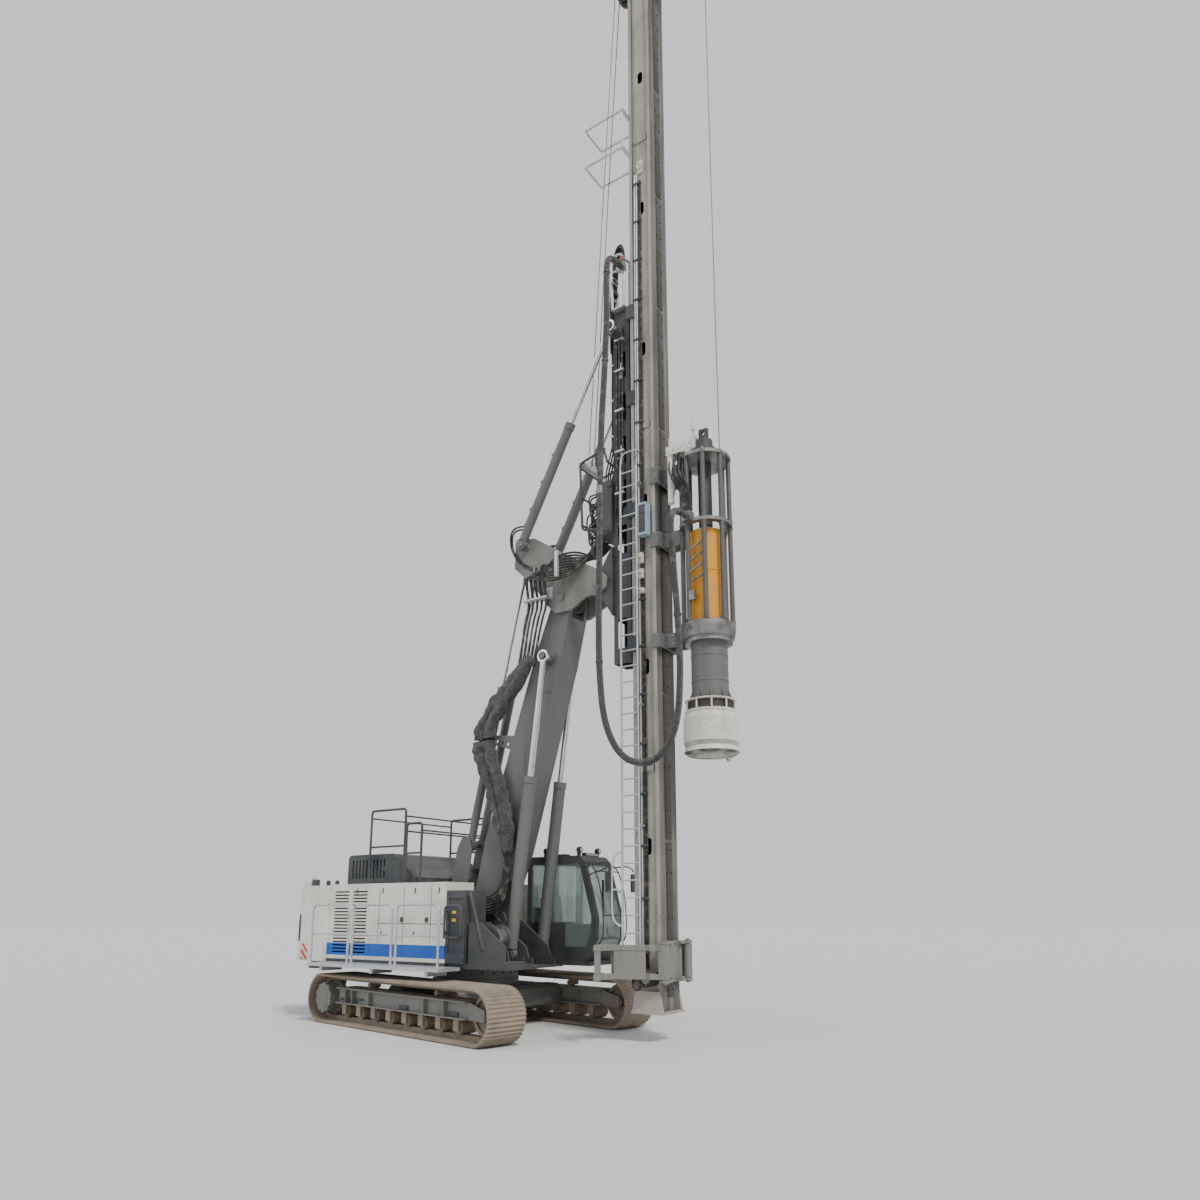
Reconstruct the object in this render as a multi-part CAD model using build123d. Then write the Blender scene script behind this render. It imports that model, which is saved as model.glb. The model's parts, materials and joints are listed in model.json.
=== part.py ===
from build123d import *
import os
from math import cos, hypot, pi, radians, sin, tan

# Foundation drilling and piling rig: a crawler base carrier with a leader and a hydraulic pile hammer.
# Millimetres, +Z up, +X towards the leader, +Y towards the cab side.
# Sizes are laid out from the slewing axis at ground level; export moves the whole part by SHIFT_X
# so that the origin is under the middle of its overall box.

# Undercarriage, which stands turned under the uppercarriage
YAW = -10.0
TRACK_LENGTH = 5900.0
TRACK_HEIGHT = 950.0
TRACK_GAUGE = 3250.0
SHOE_WIDTH = 800.0
SHOE_COUNT = 60
SHOE_PLATE = 28.0
GROUSER_HEIGHT = 26.0
CHAIN_WIDTH = 190.0
CHAIN_DEPTH = 80.0
RUN_CLEAR = 6.0
RING_RADIUS = 830.0
RING_BOTTOM = 900.0
RING_TOP = 1130.0

# Uppercarriage
DECK_BOTTOM = RING_TOP
DECK_TOP = 1330.0
DECK_HALF = 620.0
DECK_FRONT = 1700.0
HOUSE_HALF = 1400.0
HOUSE_TOP = 2720.0
HOUSE_BASE = 1240.0
HOUSE_FRONT = 450.0
BAY_REAR = -780.0
BAY_HALF = 640.0
PANEL_FRONT = 920.0
WEIGHT_REAR = -3840.0
WEIGHT_FRONT = -2870.0
DECK_REAR = WEIGHT_FRONT + 0.3
WEIGHT_HALF = 1500.0
WEIGHT_TOP = 2700.0
WEIGHT_BOTTOM = 1180.0
HOOD_REAR = -2720.0
HOOD_FRONT = -700.0
HOOD_TOP = 3330.0
WALK_HALF = 1960.0
WALK_TOP = 1180.0
RAIL_TOP = 2300.0
RAIL_RADIUS = 24.0
SEAT_GAP = 0.3

# Cab, a hollow box on the left front corner
CAB_REAR = 760.0
CAB_FRONT = 2480.0
CAB_RIGHT = 640.0
CAB_LEFT = 1580.0
CAB_FLOOR = 1230.0
CAB_ROOF = 3260.0
CAB_WALL = 45.0

# Boom and its two cylinders, in the upright plane through the slewing axis
BOOM_PIVOT = (350.0, 2000.0)
BOOM_HEAD = (2300.0, 8300.0)
BOOM_HALF = 300.0
BOOM_PLATE = 24.0
LUFF_BASE = (1280.0, 1400.0)
LUFF_EYE = (1980.0, 7100.0)
CYLINDER_Y = 485.0
LUFF_BARREL = 3350.0
LUFF_TUBE_R = 118.0
LUFF_ROD_R = 62.0

# Rear strut cylinders, which hold the rocker level with the boom
STRUT_FOOT = (-100.0, 3500.0)
STRUT_EYE = (1250.0, 9300.0)
STRUT_Y = 170.0
STRUT_BARREL = 3300.0

# Rocker on the boom head, and the two cylinders that tilt the leader
TILT_BASE = (1420.0, 9560.0)
TILT_EYE = (3620.0, 13750.0)
TILT_Y = 560.0
TILT_BARREL = 2650.0
CARRIAGE_PIVOT = (3180.0, 8420.0)
ROCKER_PLATE = 60.0

# Leader, its carriage and what it carries
LEADER_X = 4200.0
LEADER_DEPTH = 520.0
LEADER_WIDTH = 500.0
LEADER_WALL = 16.0
LEADER_BOTTOM = 520.0
LEADER_TOP = 22300.0
GUIDE_DEPTH = 70.0
GUIDE_WIDTH = 56.0
CARRIAGE_BOTTOM = 6750.0
CARRIAGE_TOP = 14300.0
HAMMER_X = 5370.0
HAMMER_RADIUS = 490.0
HELMET_BOTTOM = 4850.0
HELMET_TOP = 5580.0
DRUM_TOP = 6870.0
FLANGE_TOP = 7220.0
RING_MID = 9100.0
CAGE_TOP = 10500.0
RAM_RADIUS = 335.0
RAM_TOP = 9000.0
PIN_R = 45.0

SHIFT_X = -(WEIGHT_REAR + HAMMER_X + HAMMER_RADIUS) / 2


def block(x0, x1, y0, y1, z0, z1):
    """Box between two corners."""
    return Pos((x0 + x1) / 2, (y0 + y1) / 2, (z0 + z1) / 2) * Box(x1 - x0, y1 - y0, z1 - z0)


def between(start, end):
    """Plane at start whose normal points to end."""
    return Plane(origin=start, z_dir=(Vector(*end) - Vector(*start)).normalized())


def rod(start, end, radius, bore=0.0):
    """Round bar, or tube, from start to end."""
    plane = between(start, end)
    length = (Vector(*end) - Vector(*start)).length
    solid = extrude(plane * Circle(radius), length)
    if bore:
        solid -= extrude(plane * Circle(bore), length)
    return solid


def side_plate(points, y0, y1):
    """Outline of (x, z) points drawn from the side, as thick as from y0 to y1."""
    face = make_face(Plane.XZ * Polyline(*points, close=True))
    return Pos(0, y0, 0) * extrude(face, y1 - y0, dir=(0, 1, 0))


def top_plate(points, z0, z1):
    """Outline of (x, y) points seen from above, from z0 up to z1."""
    return Pos(0, 0, z0) * extrude(make_face(Polyline(*points, close=True)), z1 - z0, dir=(0, 0, 1))


def cross_pin(at, y0, y1, radius, bore=0.0):
    """Round pin or boss across the machine at an (x, z) place."""
    return rod((at[0], y0, at[1]), (at[0], y1, at[1]), radius, bore)


def pipe(points, radius, bend):
    """Round rail along points, with its corners bent."""
    path = FilletPolyline(*points, radius=bend)
    return sweep(Plane(origin=path @ 0, z_dir=path % 0) * Circle(radius), path)


def along(start, end, distance):
    """Place at a distance from start on the way to end, in the (x, z) plane."""
    length = hypot(end[0] - start[0], end[1] - start[1])
    share = distance / length
    return (start[0] + share * (end[0] - start[0]), start[1] + share * (end[1] - start[1]))


def hose(points, radius):
    """Slack hose along points, bent as widely at each corner as its shorter run allows."""
    places = [Vector(*point) for point in points]
    bends = []
    for before, at, after in zip(places, places[1:], places[2:]):
        half_turn = radians((at - before).get_angle(after - at)) / 2
        bends.append(0.45 * min((at - before).length, (after - at).length) / tan(half_turn))
    path = FilletPolyline(*points, radius=bends)
    return sweep(Plane(origin=path @ 0, z_dir=path % 0) * Circle(radius), path)


def mirror_y(shape):
    """The same shape on the other side of the machine."""
    return mirror(shape, Plane.XZ)


NODES = {}


def node(name, *shapes):
    """Keep one named sub-part, joining what touches."""
    whole = shapes[0]
    for shape in shapes[1:]:
        whole += shape
    NODES[name] = whole
    return whole


# Undercarriage

TRACK_R = TRACK_HEIGHT / 2
AXLE_X = (TRACK_LENGTH - TRACK_HEIGHT) / 2
PLATE_R = TRACK_R - GROUSER_HEIGHT
CHAIN_R = PLATE_R - SHOE_PLATE
WHEEL_R = CHAIN_R - CHAIN_DEPTH - SEAT_GAP


def loop_point(share, radius):
    """Point of the track loop, at a share of its length from the bottom middle, out at a radius."""
    flat, arc = 2 * AXLE_X, pi * PLATE_R
    run = (share % 1.0) * 2 * (flat + arc)
    if run < flat / 2:
        return (run, TRACK_R - radius)
    run -= flat / 2
    if run < arc:
        turn = run / PLATE_R
        return (AXLE_X + radius * sin(turn), TRACK_R - radius * cos(turn))
    run -= arc
    if run < flat:
        return (AXLE_X - run, TRACK_R + radius)
    run -= flat
    if run < arc:
        turn = run / PLATE_R
        return (-AXLE_X - radius * sin(turn), TRACK_R + radius * cos(turn))
    return (run - arc - AXLE_X, TRACK_R - radius)


def stadium(radius, y0, y1):
    """Solid of the track's own round-ended outline at a radius round its axles."""
    core = block(-AXLE_X, AXLE_X, y0, y1, TRACK_R - radius, TRACK_R + radius)
    for end in (-AXLE_X, AXLE_X):
        core += cross_pin((end, TRACK_R), y0, y1, radius)
    return core


def track(y):
    """One shoe loop: three low ribs on each shoe, on a narrower chain."""
    ribs = (0.06, 0.16, 0.26), (0.39, 0.50, 0.61), (0.74, 0.84, 0.94)
    outline = []
    for shoe in range(SHOE_COUNT):
        outline.append(loop_point((shoe + 0.02) / SHOE_COUNT, PLATE_R))
        for heel, crown, toe in ribs:
            outline.append(loop_point((shoe + heel) / SHOE_COUNT, PLATE_R))
            outline.append(loop_point((shoe + crown) / SHOE_COUNT, TRACK_R))
            outline.append(loop_point((shoe + toe) / SHOE_COUNT, PLATE_R))
    shoes = side_plate(outline, y - SHOE_WIDTH / 2, y + SHOE_WIDTH / 2)
    shoes -= stadium(CHAIN_R, y - SHOE_WIDTH, y + SHOE_WIDTH)
    chain = stadium(CHAIN_R + 2, y - CHAIN_WIDTH / 2, y + CHAIN_WIDTH / 2)
    chain -= stadium(WHEEL_R + SEAT_GAP, y - CHAIN_WIDTH, y + CHAIN_WIDTH)
    return shoes + chain


FRAME_HALF = 330.0
FRAME_LOW = 390.0
FRAME_HIGH = 690.0
FRAME_WEB = 22.0
SPROCKET_X = -AXLE_X
ROLLER_R = 120.0
CARRIER_R = 50.0
ROLLER_PITCH = 520.0
ROLLER_COUNT = 8


def track_frame(side):
    """Long side beam with flanges and ribs, open at both ends for the wheels."""
    y = side * TRACK_GAUGE / 2
    y0, y1 = y - FRAME_HALF / 2, y + FRAME_HALF / 2
    reach = AXLE_X - WHEEL_R - 30
    beam = block(-reach, reach, y0, y1, FRAME_LOW, FRAME_HIGH)
    beam -= block(-reach + 40, reach - 40, y0 + FRAME_WEB, y1 - FRAME_WEB,
                  FRAME_LOW + FRAME_WEB, FRAME_HIGH - FRAME_WEB)
    lip = 85
    beam += block(-reach, reach, y0 - lip, y1 + lip, FRAME_HIGH - FRAME_WEB, FRAME_HIGH)
    beam += block(-reach, reach, y0 - lip, y1 + lip, FRAME_LOW, FRAME_LOW + FRAME_WEB)
    for x in (-1750, -1500, -900, 900, 1500):
        rib = block(x - 9, x + 9, y0 - lip, y1 + lip, FRAME_LOW, FRAME_HIGH)
        beam += rib
    inner = y0 if side > 0 else y1 - 26
    for end, offsets in ((-1, (inner,)), (1, (y0, y1 - 26))):
        cheek = side_plate([(end * (reach - 60), FRAME_HIGH), (end * (AXLE_X + 60), TRACK_R + 95),
                            (end * (AXLE_X + 60), TRACK_R - 95), (end * (reach - 60), FRAME_LOW)], 0, 26)
        for offset in offsets:
            beam += Pos(0, offset, 0) * cheek
    return beam


def rollers(side):
    """Bottom rollers with their shafts, and two carrier rollers above the beam."""
    y = side * TRACK_GAUGE / 2
    group = []
    bottom = TRACK_R - WHEEL_R - SEAT_GAP + ROLLER_R + 2 * SEAT_GAP
    start = -ROLLER_PITCH * (ROLLER_COUNT - 1) / 2
    for index in range(ROLLER_COUNT):
        at = (start + index * ROLLER_PITCH, bottom)
        roller = cross_pin(at, y - 150, y + 150, ROLLER_R)
        for step in (-1, 1):
            hanger_y = y + step * 185
            roller += block(at[0] - 70, at[0] + 70, hanger_y - 25, hanger_y + 25,
                            bottom - 60, FRAME_LOW - SEAT_GAP)
        group.append(roller + cross_pin(at, y - 205, y + 205, 40))
    top = TRACK_R + WHEEL_R - CARRIER_R
    for x in (-1100, 1100):
        roller = cross_pin((x, top), y - 120, y + 120, CARRIER_R)
        roller += block(x - 40, x + 40, y - 20, y + 20, FRAME_HIGH + SEAT_GAP, top)
        group.append(roller)
    return group


def idler(side):
    """Front guide wheel with a rim, a web and a hub."""
    y = side * TRACK_GAUGE / 2
    at = (AXLE_X, TRACK_R)
    wheel = cross_pin(at, y - 85, y + 85, WHEEL_R) - cross_pin(at, y + 40, y + 90, WHEEL_R - 60)
    wheel -= cross_pin(at, y - 90, y - 40, WHEEL_R - 60)
    return wheel + cross_pin(at, y - FRAME_HALF / 2 + 26.3, y + FRAME_HALF / 2 - 26.3, 95)


def final_drive(side):
    """Rear sprocket with teeth, and the round gearbox hub that fills it on the outside."""
    y = side * TRACK_GAUGE / 2
    at = (SPROCKET_X, TRACK_R)
    disc = cross_pin(at, y - 45, y + 45, WHEEL_R - 22)
    teeth = 21
    tooth = block(-30, 30, y - 45, y + 45, 0, WHEEL_R - 2)
    for index in range(teeth):
        disc += Pos(at[0], 0, at[1]) * Rot(0, 360 * index / teeth, 0) * tooth
    out = y + side * (FRAME_HALF / 2 + 150)
    low, high = sorted((y + side * 45, out))
    hub = cross_pin(at, low, high, 262)
    rim_low, rim_high = sorted((out - side * 70, out))
    hub += cross_pin(at, rim_low, rim_high, 292)
    for index in range(10):
        turn = 2 * pi * index / 10
        centre = (at[0] + 292 * cos(turn), at[1] + 292 * sin(turn))
        hub -= cross_pin(centre, rim_low - 1, rim_high + 1, 34)
    inner_low, inner_high = sorted((y - side * 45, y - side * (FRAME_HALF / 2 - 26.3)))
    return disc + hub + cross_pin(at, inner_low, inner_high, 150)


def car_body():
    """Centre box under the slewing ring with four beam ends that carry the track frames."""
    beam_y = TRACK_GAUGE / 2 - FRAME_HALF / 2 - 85 - SEAT_GAP
    body = block(-820, 820, -780, 780, 330, 800)
    body -= block(-780, 780, -740, 740, 300, 760)
    for x in (-760, 760):
        half, cut = 230, 70
        beam = [(x - half, 360 + cut), (x - half + cut, 360), (x + half - cut, 360), (x + half, 360 + cut),
                (x + half, 760 - cut), (x + half - cut, 760), (x - half + cut, 760), (x - half, 760 - cut)]
        body += side_plate(beam, -beam_y, beam_y)
    body += rod((0, 0, 780), (0, 0, RING_BOTTOM - SEAT_GAP), RING_RADIUS + 20, RING_RADIUS - 160)
    return body


def slewing_ring():
    """Outer bearing ring with its row of bolt holes."""
    ring = rod((0, 0, RING_BOTTOM), (0, 0, RING_TOP - SEAT_GAP), RING_RADIUS, RING_RADIUS - 150)
    for index in range(24):
        turn = 2 * pi * index / 24
        spot = ((RING_RADIUS + 2) * cos(turn), (RING_RADIUS + 2) * sin(turn), RING_BOTTOM + 120)
        ring -= rod((spot[0] * 0.96, spot[1] * 0.96, spot[2]), (spot[0] * 1.01, spot[1] * 1.01, spot[2]), 26)
    return ring


turned = Rot(0, 0, YAW)
node("car_body", turned * car_body())
node("slewing_ring", turned * slewing_ring())
node("track_right", turned * track(-TRACK_GAUGE / 2))
node("track_left", turned * track(TRACK_GAUGE / 2))
node("track_frames", turned * Compound([track_frame(-1), track_frame(1)]))
node("idlers", turned * Compound([idler(-1), idler(1)]))
node("final_drives", turned * Compound([final_drive(-1), final_drive(1)]))
node("track_rollers", turned * Compound(rollers(-1) + rollers(1)))


# Uppercarriage

GRILLE_PITCH = 66.0
SEAM = 8.0
WING_BOTTOM = 1150.0
PLATFORM_FRONT = 1900.0
PLATFORM_HALF = 1330.0


def upper_frame():
    """Deck plates, the two upright boom plates, and the brackets of the luffing cylinders."""
    deck = block(DECK_REAR, DECK_FRONT, -DECK_HALF, DECK_HALF, DECK_BOTTOM, DECK_BOTTOM + 40)
    for y in (-DECK_HALF, -BOOM_HALF - 60, BOOM_HALF + 20, DECK_HALF - 40):
        deck += block(DECK_REAR, DECK_FRONT, y, y + 40, DECK_BOTTOM + 40, DECK_TOP)
    deck += block(DECK_REAR, STRUT_FOOT[0] - 180, -DECK_HALF, DECK_HALF, DECK_TOP - 30, DECK_TOP)
    for side in (-1, 1):
        low, high = sorted((side * (DECK_HALF - 5), side * HOUSE_HALF))
        wing = block(WEIGHT_FRONT, HOUSE_FRONT, low, high, WING_BOTTOM, HOUSE_BASE - SEAT_GAP)
        for x0, x1 in ((WEIGHT_FRONT + 40, -1300), (-1260, HOUSE_FRONT - 40)):
            wing -= block(x0, x1, low + 40, high - 40, WING_BOTTOM - 1, HOUSE_BASE + 1)
        deck += wing
    deck += block(CAB_REAR - 20, CAB_FRONT - 140, DECK_HALF - 5, CAB_LEFT - 120, WING_BOTTOM,
                  CAB_FLOOR - SEAT_GAP)
    deck += block(HOUSE_FRONT - 5, PLATFORM_FRONT, -PLATFORM_HALF, -DECK_HALF + 5, WING_BOTTOM, HOUSE_BASE)
    x, z = BOOM_PIVOT
    outline = [(x - 620, DECK_TOP - 60), (x - 330, z + 150), (x - 170, z + 320), (x + 150, z + 320),
               (x + 330, z + 150), (LUFF_BASE[0] + 260, LUFF_BASE[1] + 130),
               (LUFF_BASE[0] + 330, LUFF_BASE[1] - 60), (LUFF_BASE[0] + 330, DECK_BOTTOM + 40),
               (x - 620, DECK_BOTTOM + 40)]
    for low, high in ((-BOOM_HALF - 60, -BOOM_HALF - 20), (BOOM_HALF + 20, BOOM_HALF + 60)):
        deck += side_plate(outline, low, high)
    deck += cross_pin(BOOM_PIVOT, -BOOM_HALF - 100, BOOM_HALF + 100, 80)
    for side in (-1, 1):
        low, high = sorted((side * (BOOM_HALF + 60), side * (CYLINDER_Y + 100)))
        deck += cross_pin(LUFF_BASE, low, high, PIN_R)
        low, high = sorted((side * (CYLINDER_Y + 75), side * (CYLINDER_Y + 105)))
        deck += side_plate([(LUFF_BASE[0] - 200, DECK_BOTTOM), (LUFF_BASE[0] - 80, LUFF_BASE[1] + 56),
                            (LUFF_BASE[0] + 80, LUFF_BASE[1] + 56), (LUFF_BASE[0] + 200, DECK_BOTTOM)],
                           low, high)
    return deck


def strut_tower():
    """Tapered bracket behind the boom, which holds the feet of the rear strut cylinders."""
    x, z = STRUT_FOOT
    outline = [(x - 640, DECK_TOP + SEAT_GAP), (x - 250, z - 60), (x - 130, z + 150), (x + 60, z + 150),
               (x + 130, z - 120), (x + 60, z - 700), (x - 120, DECK_TOP + 700),
               (x - 200, DECK_TOP + SEAT_GAP)]
    tower = None
    for low, high in ((-STRUT_Y - 120, -STRUT_Y - 85), (STRUT_Y + 85, STRUT_Y + 120)):
        plate = side_plate(outline, low, high) - cross_pin((x - 260, z - 900), low - 1, high + 1, 95)
        tower = plate if tower is None else tower + plate
    tower += block(x - 620, x - 560, -STRUT_Y - 90, STRUT_Y + 90, DECK_TOP + SEAT_GAP, DECK_TOP + 260)
    for height, depth in ((z - 520, 200), (z - 1300, 300)):
        tower += block(x - 300, x - 300 + depth, -STRUT_Y - 90, STRUT_Y + 90, height, height + 60)
    return tower + cross_pin(STRUT_FOOT, -STRUT_Y - 90, STRUT_Y + 90, PIN_R)


def housing():
    """Engine and tank housing round the boom bay: thin walls, louvres, seams and a flat roof."""
    x0, x1, y, z0, z1 = WEIGHT_FRONT + SEAT_GAP, HOUSE_FRONT, HOUSE_HALF, HOUSE_BASE, HOUSE_TOP
    wall = 40
    rear = x0 + wall
    outline = [(x0, -y), (x1, -y), (x1, -BAY_HALF), (BAY_REAR, -BAY_HALF), (BAY_REAR, BAY_HALF),
               (x1, BAY_HALF), (x1, y), (x0, y)]
    inner = [(rear, -y + wall), (x1 - wall, -y + wall), (x1 - wall, -BAY_HALF - wall),
             (BAY_REAR - wall, -BAY_HALF - wall), (BAY_REAR - wall, BAY_HALF + wall),
             (x1 - wall, BAY_HALF + wall), (x1 - wall, y - wall), (rear, y - wall)]
    shell = top_plate(outline, z0, z1) - top_plate(inner, z0 - 1, z1 - wall)
    shell -= block(x0 - 1, x1, -DECK_HALF - 5, DECK_HALF + 5, z0 - 1, DECK_TOP + SEAT_GAP)
    for side in (-1, 1):
        for x in LOUVRE_X if side < 0 else LOUVRE_X[:1]:
            for index in range(LOUVRE_COUNT):
                z = z0 + 120 + index * GRILLE_PITCH
                low, high = sorted((side * (y - wall - 1), side * (y + 1)))
                shell -= block(x, x + LOUVRE_LENGTH, low, high, z, z + GRILLE_PITCH * 0.45)
        for x in SEAM_X:
            low, high = sorted((side * (y - 6), side * (y + 1)))
            shell -= block(x - SEAM / 2, x + SEAM / 2, low, high, z0 - 1, z1 + 1)
        low, high = sorted((side * (y - 6), side * (y + 1)))
        shell -= block(DOOR_FROM, x1 + 1, low, high, WAIST - SEAM / 2, WAIST + SEAM / 2)
    return shell


LOUVRE_X = (-2700.0, -2150.0)
LOUVRE_LENGTH = 440.0
LOUVRE_COUNT = 19
DOOR_FROM = -1600.0
SEAM_X = (-2790.0, DOOR_FROM, -850.0, -120.0)
WAIST = 2010.0


def engine():
    """Plain block of the engine with its radiator, at its real size and place."""
    unit = block(-2450, -1150, -420, 420, DECK_TOP + SEAT_GAP, DECK_TOP + 900)
    return unit + block(-2250, -1350, -420, 420, DECK_TOP + 880, DECK_TOP + 1150)


def hood():
    """Dark raised cover on the roof, with upright slits and a sloped front end."""
    z0, z1 = HOUSE_TOP + SEAT_GAP, HOOD_TOP
    outline = [(HOOD_REAR, z0), (HOOD_REAR, z1 - 60), (HOOD_REAR + 60, z1), (HOOD_FRONT - 700, z1),
               (HOOD_FRONT - 620, z1 - 30), (HOOD_FRONT, z0 + 120), (HOOD_FRONT, z0)]
    cover = side_plate(outline, -1080, 1080)
    inner = [(HOOD_REAR + 30, z0 - 1), (HOOD_REAR + 30, z1 - 75), (HOOD_REAR + 75, z1 - 30),
             (HOOD_FRONT - 715, z1 - 30), (HOOD_FRONT - 640, z1 - 60), (HOOD_FRONT - 30, z0 + 100),
             (HOOD_FRONT - 30, z0 - 1)]
    cover -= side_plate(inner, -1050, 1050)
    for index in range(10):
        x = HOOD_REAR + 130 + index * 105
        cover -= block(x, x + 45, -1090, -1040, z0 + 120, z1 - 110)
        cover -= block(x, x + 45, 1040, 1090, z0 + 120, z1 - 110)
    return cover


def counterweight():
    """Cast rear weight with rounded corners, seams, corner openings and jack recesses."""
    x0, x1, y = WEIGHT_REAR, WEIGHT_FRONT, WEIGHT_HALF
    cut = 240
    outline = [(x1, -y), (x0 + cut, -y), (x0 + 60, -y + cut * 0.45), (x0, -y + cut), (x0, y - cut),
               (x0 + 60, y - cut * 0.45), (x0 + cut, y), (x1, y)]
    weight = top_plate(outline, WEIGHT_BOTTOM, WEIGHT_TOP)
    for side in (-1, 1):
        low, high = sorted((side * (y - 12), side * (y + 1)))
        for x in (-3560, -3330):
            weight -= block(x - 6, x + 6, low, high, WEIGHT_BOTTOM - 1, WEIGHT_TOP + 1)
        weight -= block(x0 + 60, x0 + 190, side * (y + 130) - 200, side * (y + 130) + 200, 2050, 2500)
        recess = rod((JACK_X, side * JACK_Y, WEIGHT_BOTTOM - 1), (JACK_X, side * JACK_Y, 2250), JACK_SLEEVE_R)
        weight -= recess
    weight += block(-3330, -3160, -260, 260, WEIGHT_TOP - 5, WEIGHT_TOP + 110)
    return weight


JACK_X = -3500.0
JACK_Y = 1080.0
JACK_SLEEVE_R = 130.0
JACK_ROD_R = 70.0
JACK_FOOT_Z = 1010.0


def jack_sleeve(side):
    """Fixed tube of a rear support cylinder, sunk in the counterweight."""
    top = 2250 - SEAT_GAP
    return rod((JACK_X, side * JACK_Y, 1120), (JACK_X, side * JACK_Y, top),
               JACK_SLEEVE_R - SEAT_GAP, JACK_ROD_R + SEAT_GAP)


def jack_foot(side):
    """Rod and round foot plate of a rear support cylinder."""
    foot = rod((JACK_X, side * JACK_Y, JACK_FOOT_Z), (JACK_X, side * JACK_Y, JACK_FOOT_Z + 35), 190)
    foot += rod((JACK_X, side * JACK_Y, JACK_FOOT_Z + 35), (JACK_X, side * JACK_Y, JACK_FOOT_Z + 80), 105)
    return foot + rod((JACK_X, side * JACK_Y, JACK_FOOT_Z + 30), (JACK_X, side * JACK_Y, 2190), JACK_ROD_R)


def walkway(side, front):
    """Side walkway: floor plate on brackets, with bent tube rails over it."""
    low, high = sorted((side * (HOUSE_HALF + SEAT_GAP), side * WALK_HALF))
    rear = WEIGHT_FRONT + 120
    floor = block(rear, front, low, high, WALK_TOP - 60, WALK_TOP)
    for share in (0.1, 0.5, 0.9):
        x = rear + share * (front - rear)
        inner, outer = sorted((side * (HOUSE_HALF + SEAT_GAP), side * (WALK_HALF - 60)))
        floor += block(x - 40, x + 40, inner, outer, WALK_TOP - 150, WALK_TOP - 55)
    y = side * (WALK_HALF - 40)
    sections = 3
    pitch = (front - rear) / sections
    for index in range(sections):
        start, end = rear + index * pitch + 60, rear + (index + 1) * pitch - 60
        points = [(start, y, WALK_TOP - 10), (start, y, RAIL_TOP), (end, y, RAIL_TOP),
                  (end, y, WALK_TOP - 10)]
        floor += pipe(points, RAIL_RADIUS, 110)
        middle = (WALK_TOP + RAIL_TOP) / 2
        floor += rod((start, y, middle), (end, y, middle), RAIL_RADIUS - 4)
    return floor


def control_panel():
    """Upright service panel ahead of the housing, with its slanted brace and a bent hand rail."""
    x0, x1 = HOUSE_FRONT + SEAT_GAP, PANEL_FRONT
    panel = block(x0, x1, -HOUSE_HALF + 20, -BAY_HALF - 160, HOUSE_BASE, 2560)
    panel -= block(x0 + 60, x1 - 60, -HOUSE_HALF, -HOUSE_HALF + 40, 1420, 2420)
    y = -HOUSE_HALF - 60
    gate = [(x0 + 40, y, 1700), (x0 + 40, y, 2280), (x1 - 20, y, 2280), (x1 - 20, y, 1700)]
    panel += pipe(gate + [(x0 + 40.1, y, 1700)], RAIL_RADIUS - 4, 90)
    for z in (1800, 2180):
        panel += rod((x0 + 40, y, z), (x0 + 40, -HOUSE_HALF + 30, z), RAIL_RADIUS - 6)
    return panel


def front_platform():
    """Stepped plates ahead of the panel, with the slanted silver brace."""
    outline = [(PANEL_FRONT + 60, HOUSE_BASE + SEAT_GAP), (PANEL_FRONT + 60, 1980), (PANEL_FRONT + 340, 1980),
               (PLATFORM_FRONT - 40, 1560), (PLATFORM_FRONT - 40, HOUSE_BASE + SEAT_GAP)]
    plate = side_plate(outline, -PLATFORM_HALF, -PLATFORM_HALF + 30)
    plate += block(PANEL_FRONT + 60, PLATFORM_FRONT - 40, -PLATFORM_HALF, -BAY_HALF - 80,
                   HOUSE_BASE + SEAT_GAP, HOUSE_BASE + 40)
    plate += block(PANEL_FRONT + 60, PANEL_FRONT + 90, -PLATFORM_HALF, -BAY_HALF - 80, HOUSE_BASE + 10, 1980)
    brace_y = -PLATFORM_HALF - 25
    plate += rod((PANEL_FRONT - 10 + 80, brace_y + 30, 2520), (PANEL_FRONT + 420, brace_y + 30, 1500), 32)
    return plate


def winch():
    """Rope drum with flanges on its bearing plates, ahead of the panel."""
    at = (1330.0, 1690.0)
    y0, y1 = -1180.0, -800.0
    drum = cross_pin(at, y0 + 30, y1 - 30, 170)
    for y in (y0 + 30, y1 - 60):
        drum += cross_pin(at, y, y + 30, 250)
    for y in (y0, y1 - 20):
        drum += side_plate([(at[0] - 200, HOUSE_BASE + 40 + SEAT_GAP), (at[0] - 70, at[1] + 80),
                            (at[0] + 70, at[1] + 80), (at[0] + 200, HOUSE_BASE + 40 + SEAT_GAP)], y, y + 20)
    return drum + cross_pin(at, y0 - 30, y1 + 10, 60)


def roof_rails():
    """Square-topped guard rails on the roof, one section ahead of the hood and one behind it."""
    rails = None
    table = ((-1950, 1000, 4210), (-900, 420, 3900))
    for x, length, top in table:
        for side in (-1, 1):
            y = side * 1180
            frame = pipe([(x, y, HOUSE_TOP + SEAT_GAP), (x, y, top), (x + length, y, top),
                          (x + length, y, HOUSE_TOP + SEAT_GAP)], RAIL_RADIUS, 70)
            middle = (HOUSE_TOP + top) / 2
            frame += rod((x, y, middle), (x + length, y, middle), RAIL_RADIUS - 4)
            foot = block(x - 40, x + 40, y - 40, y + 40, HOUSE_TOP + SEAT_GAP, HOUSE_TOP + 16)
            frame += foot + Pos(length, 0, 0) * foot
            rails = frame if rails is None else rails + frame
        for end in (x, x + length):
            rails += rod((end, -1180, top - 150), (end, 1180, top - 150), RAIL_RADIUS - 7)
    return rails


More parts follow.
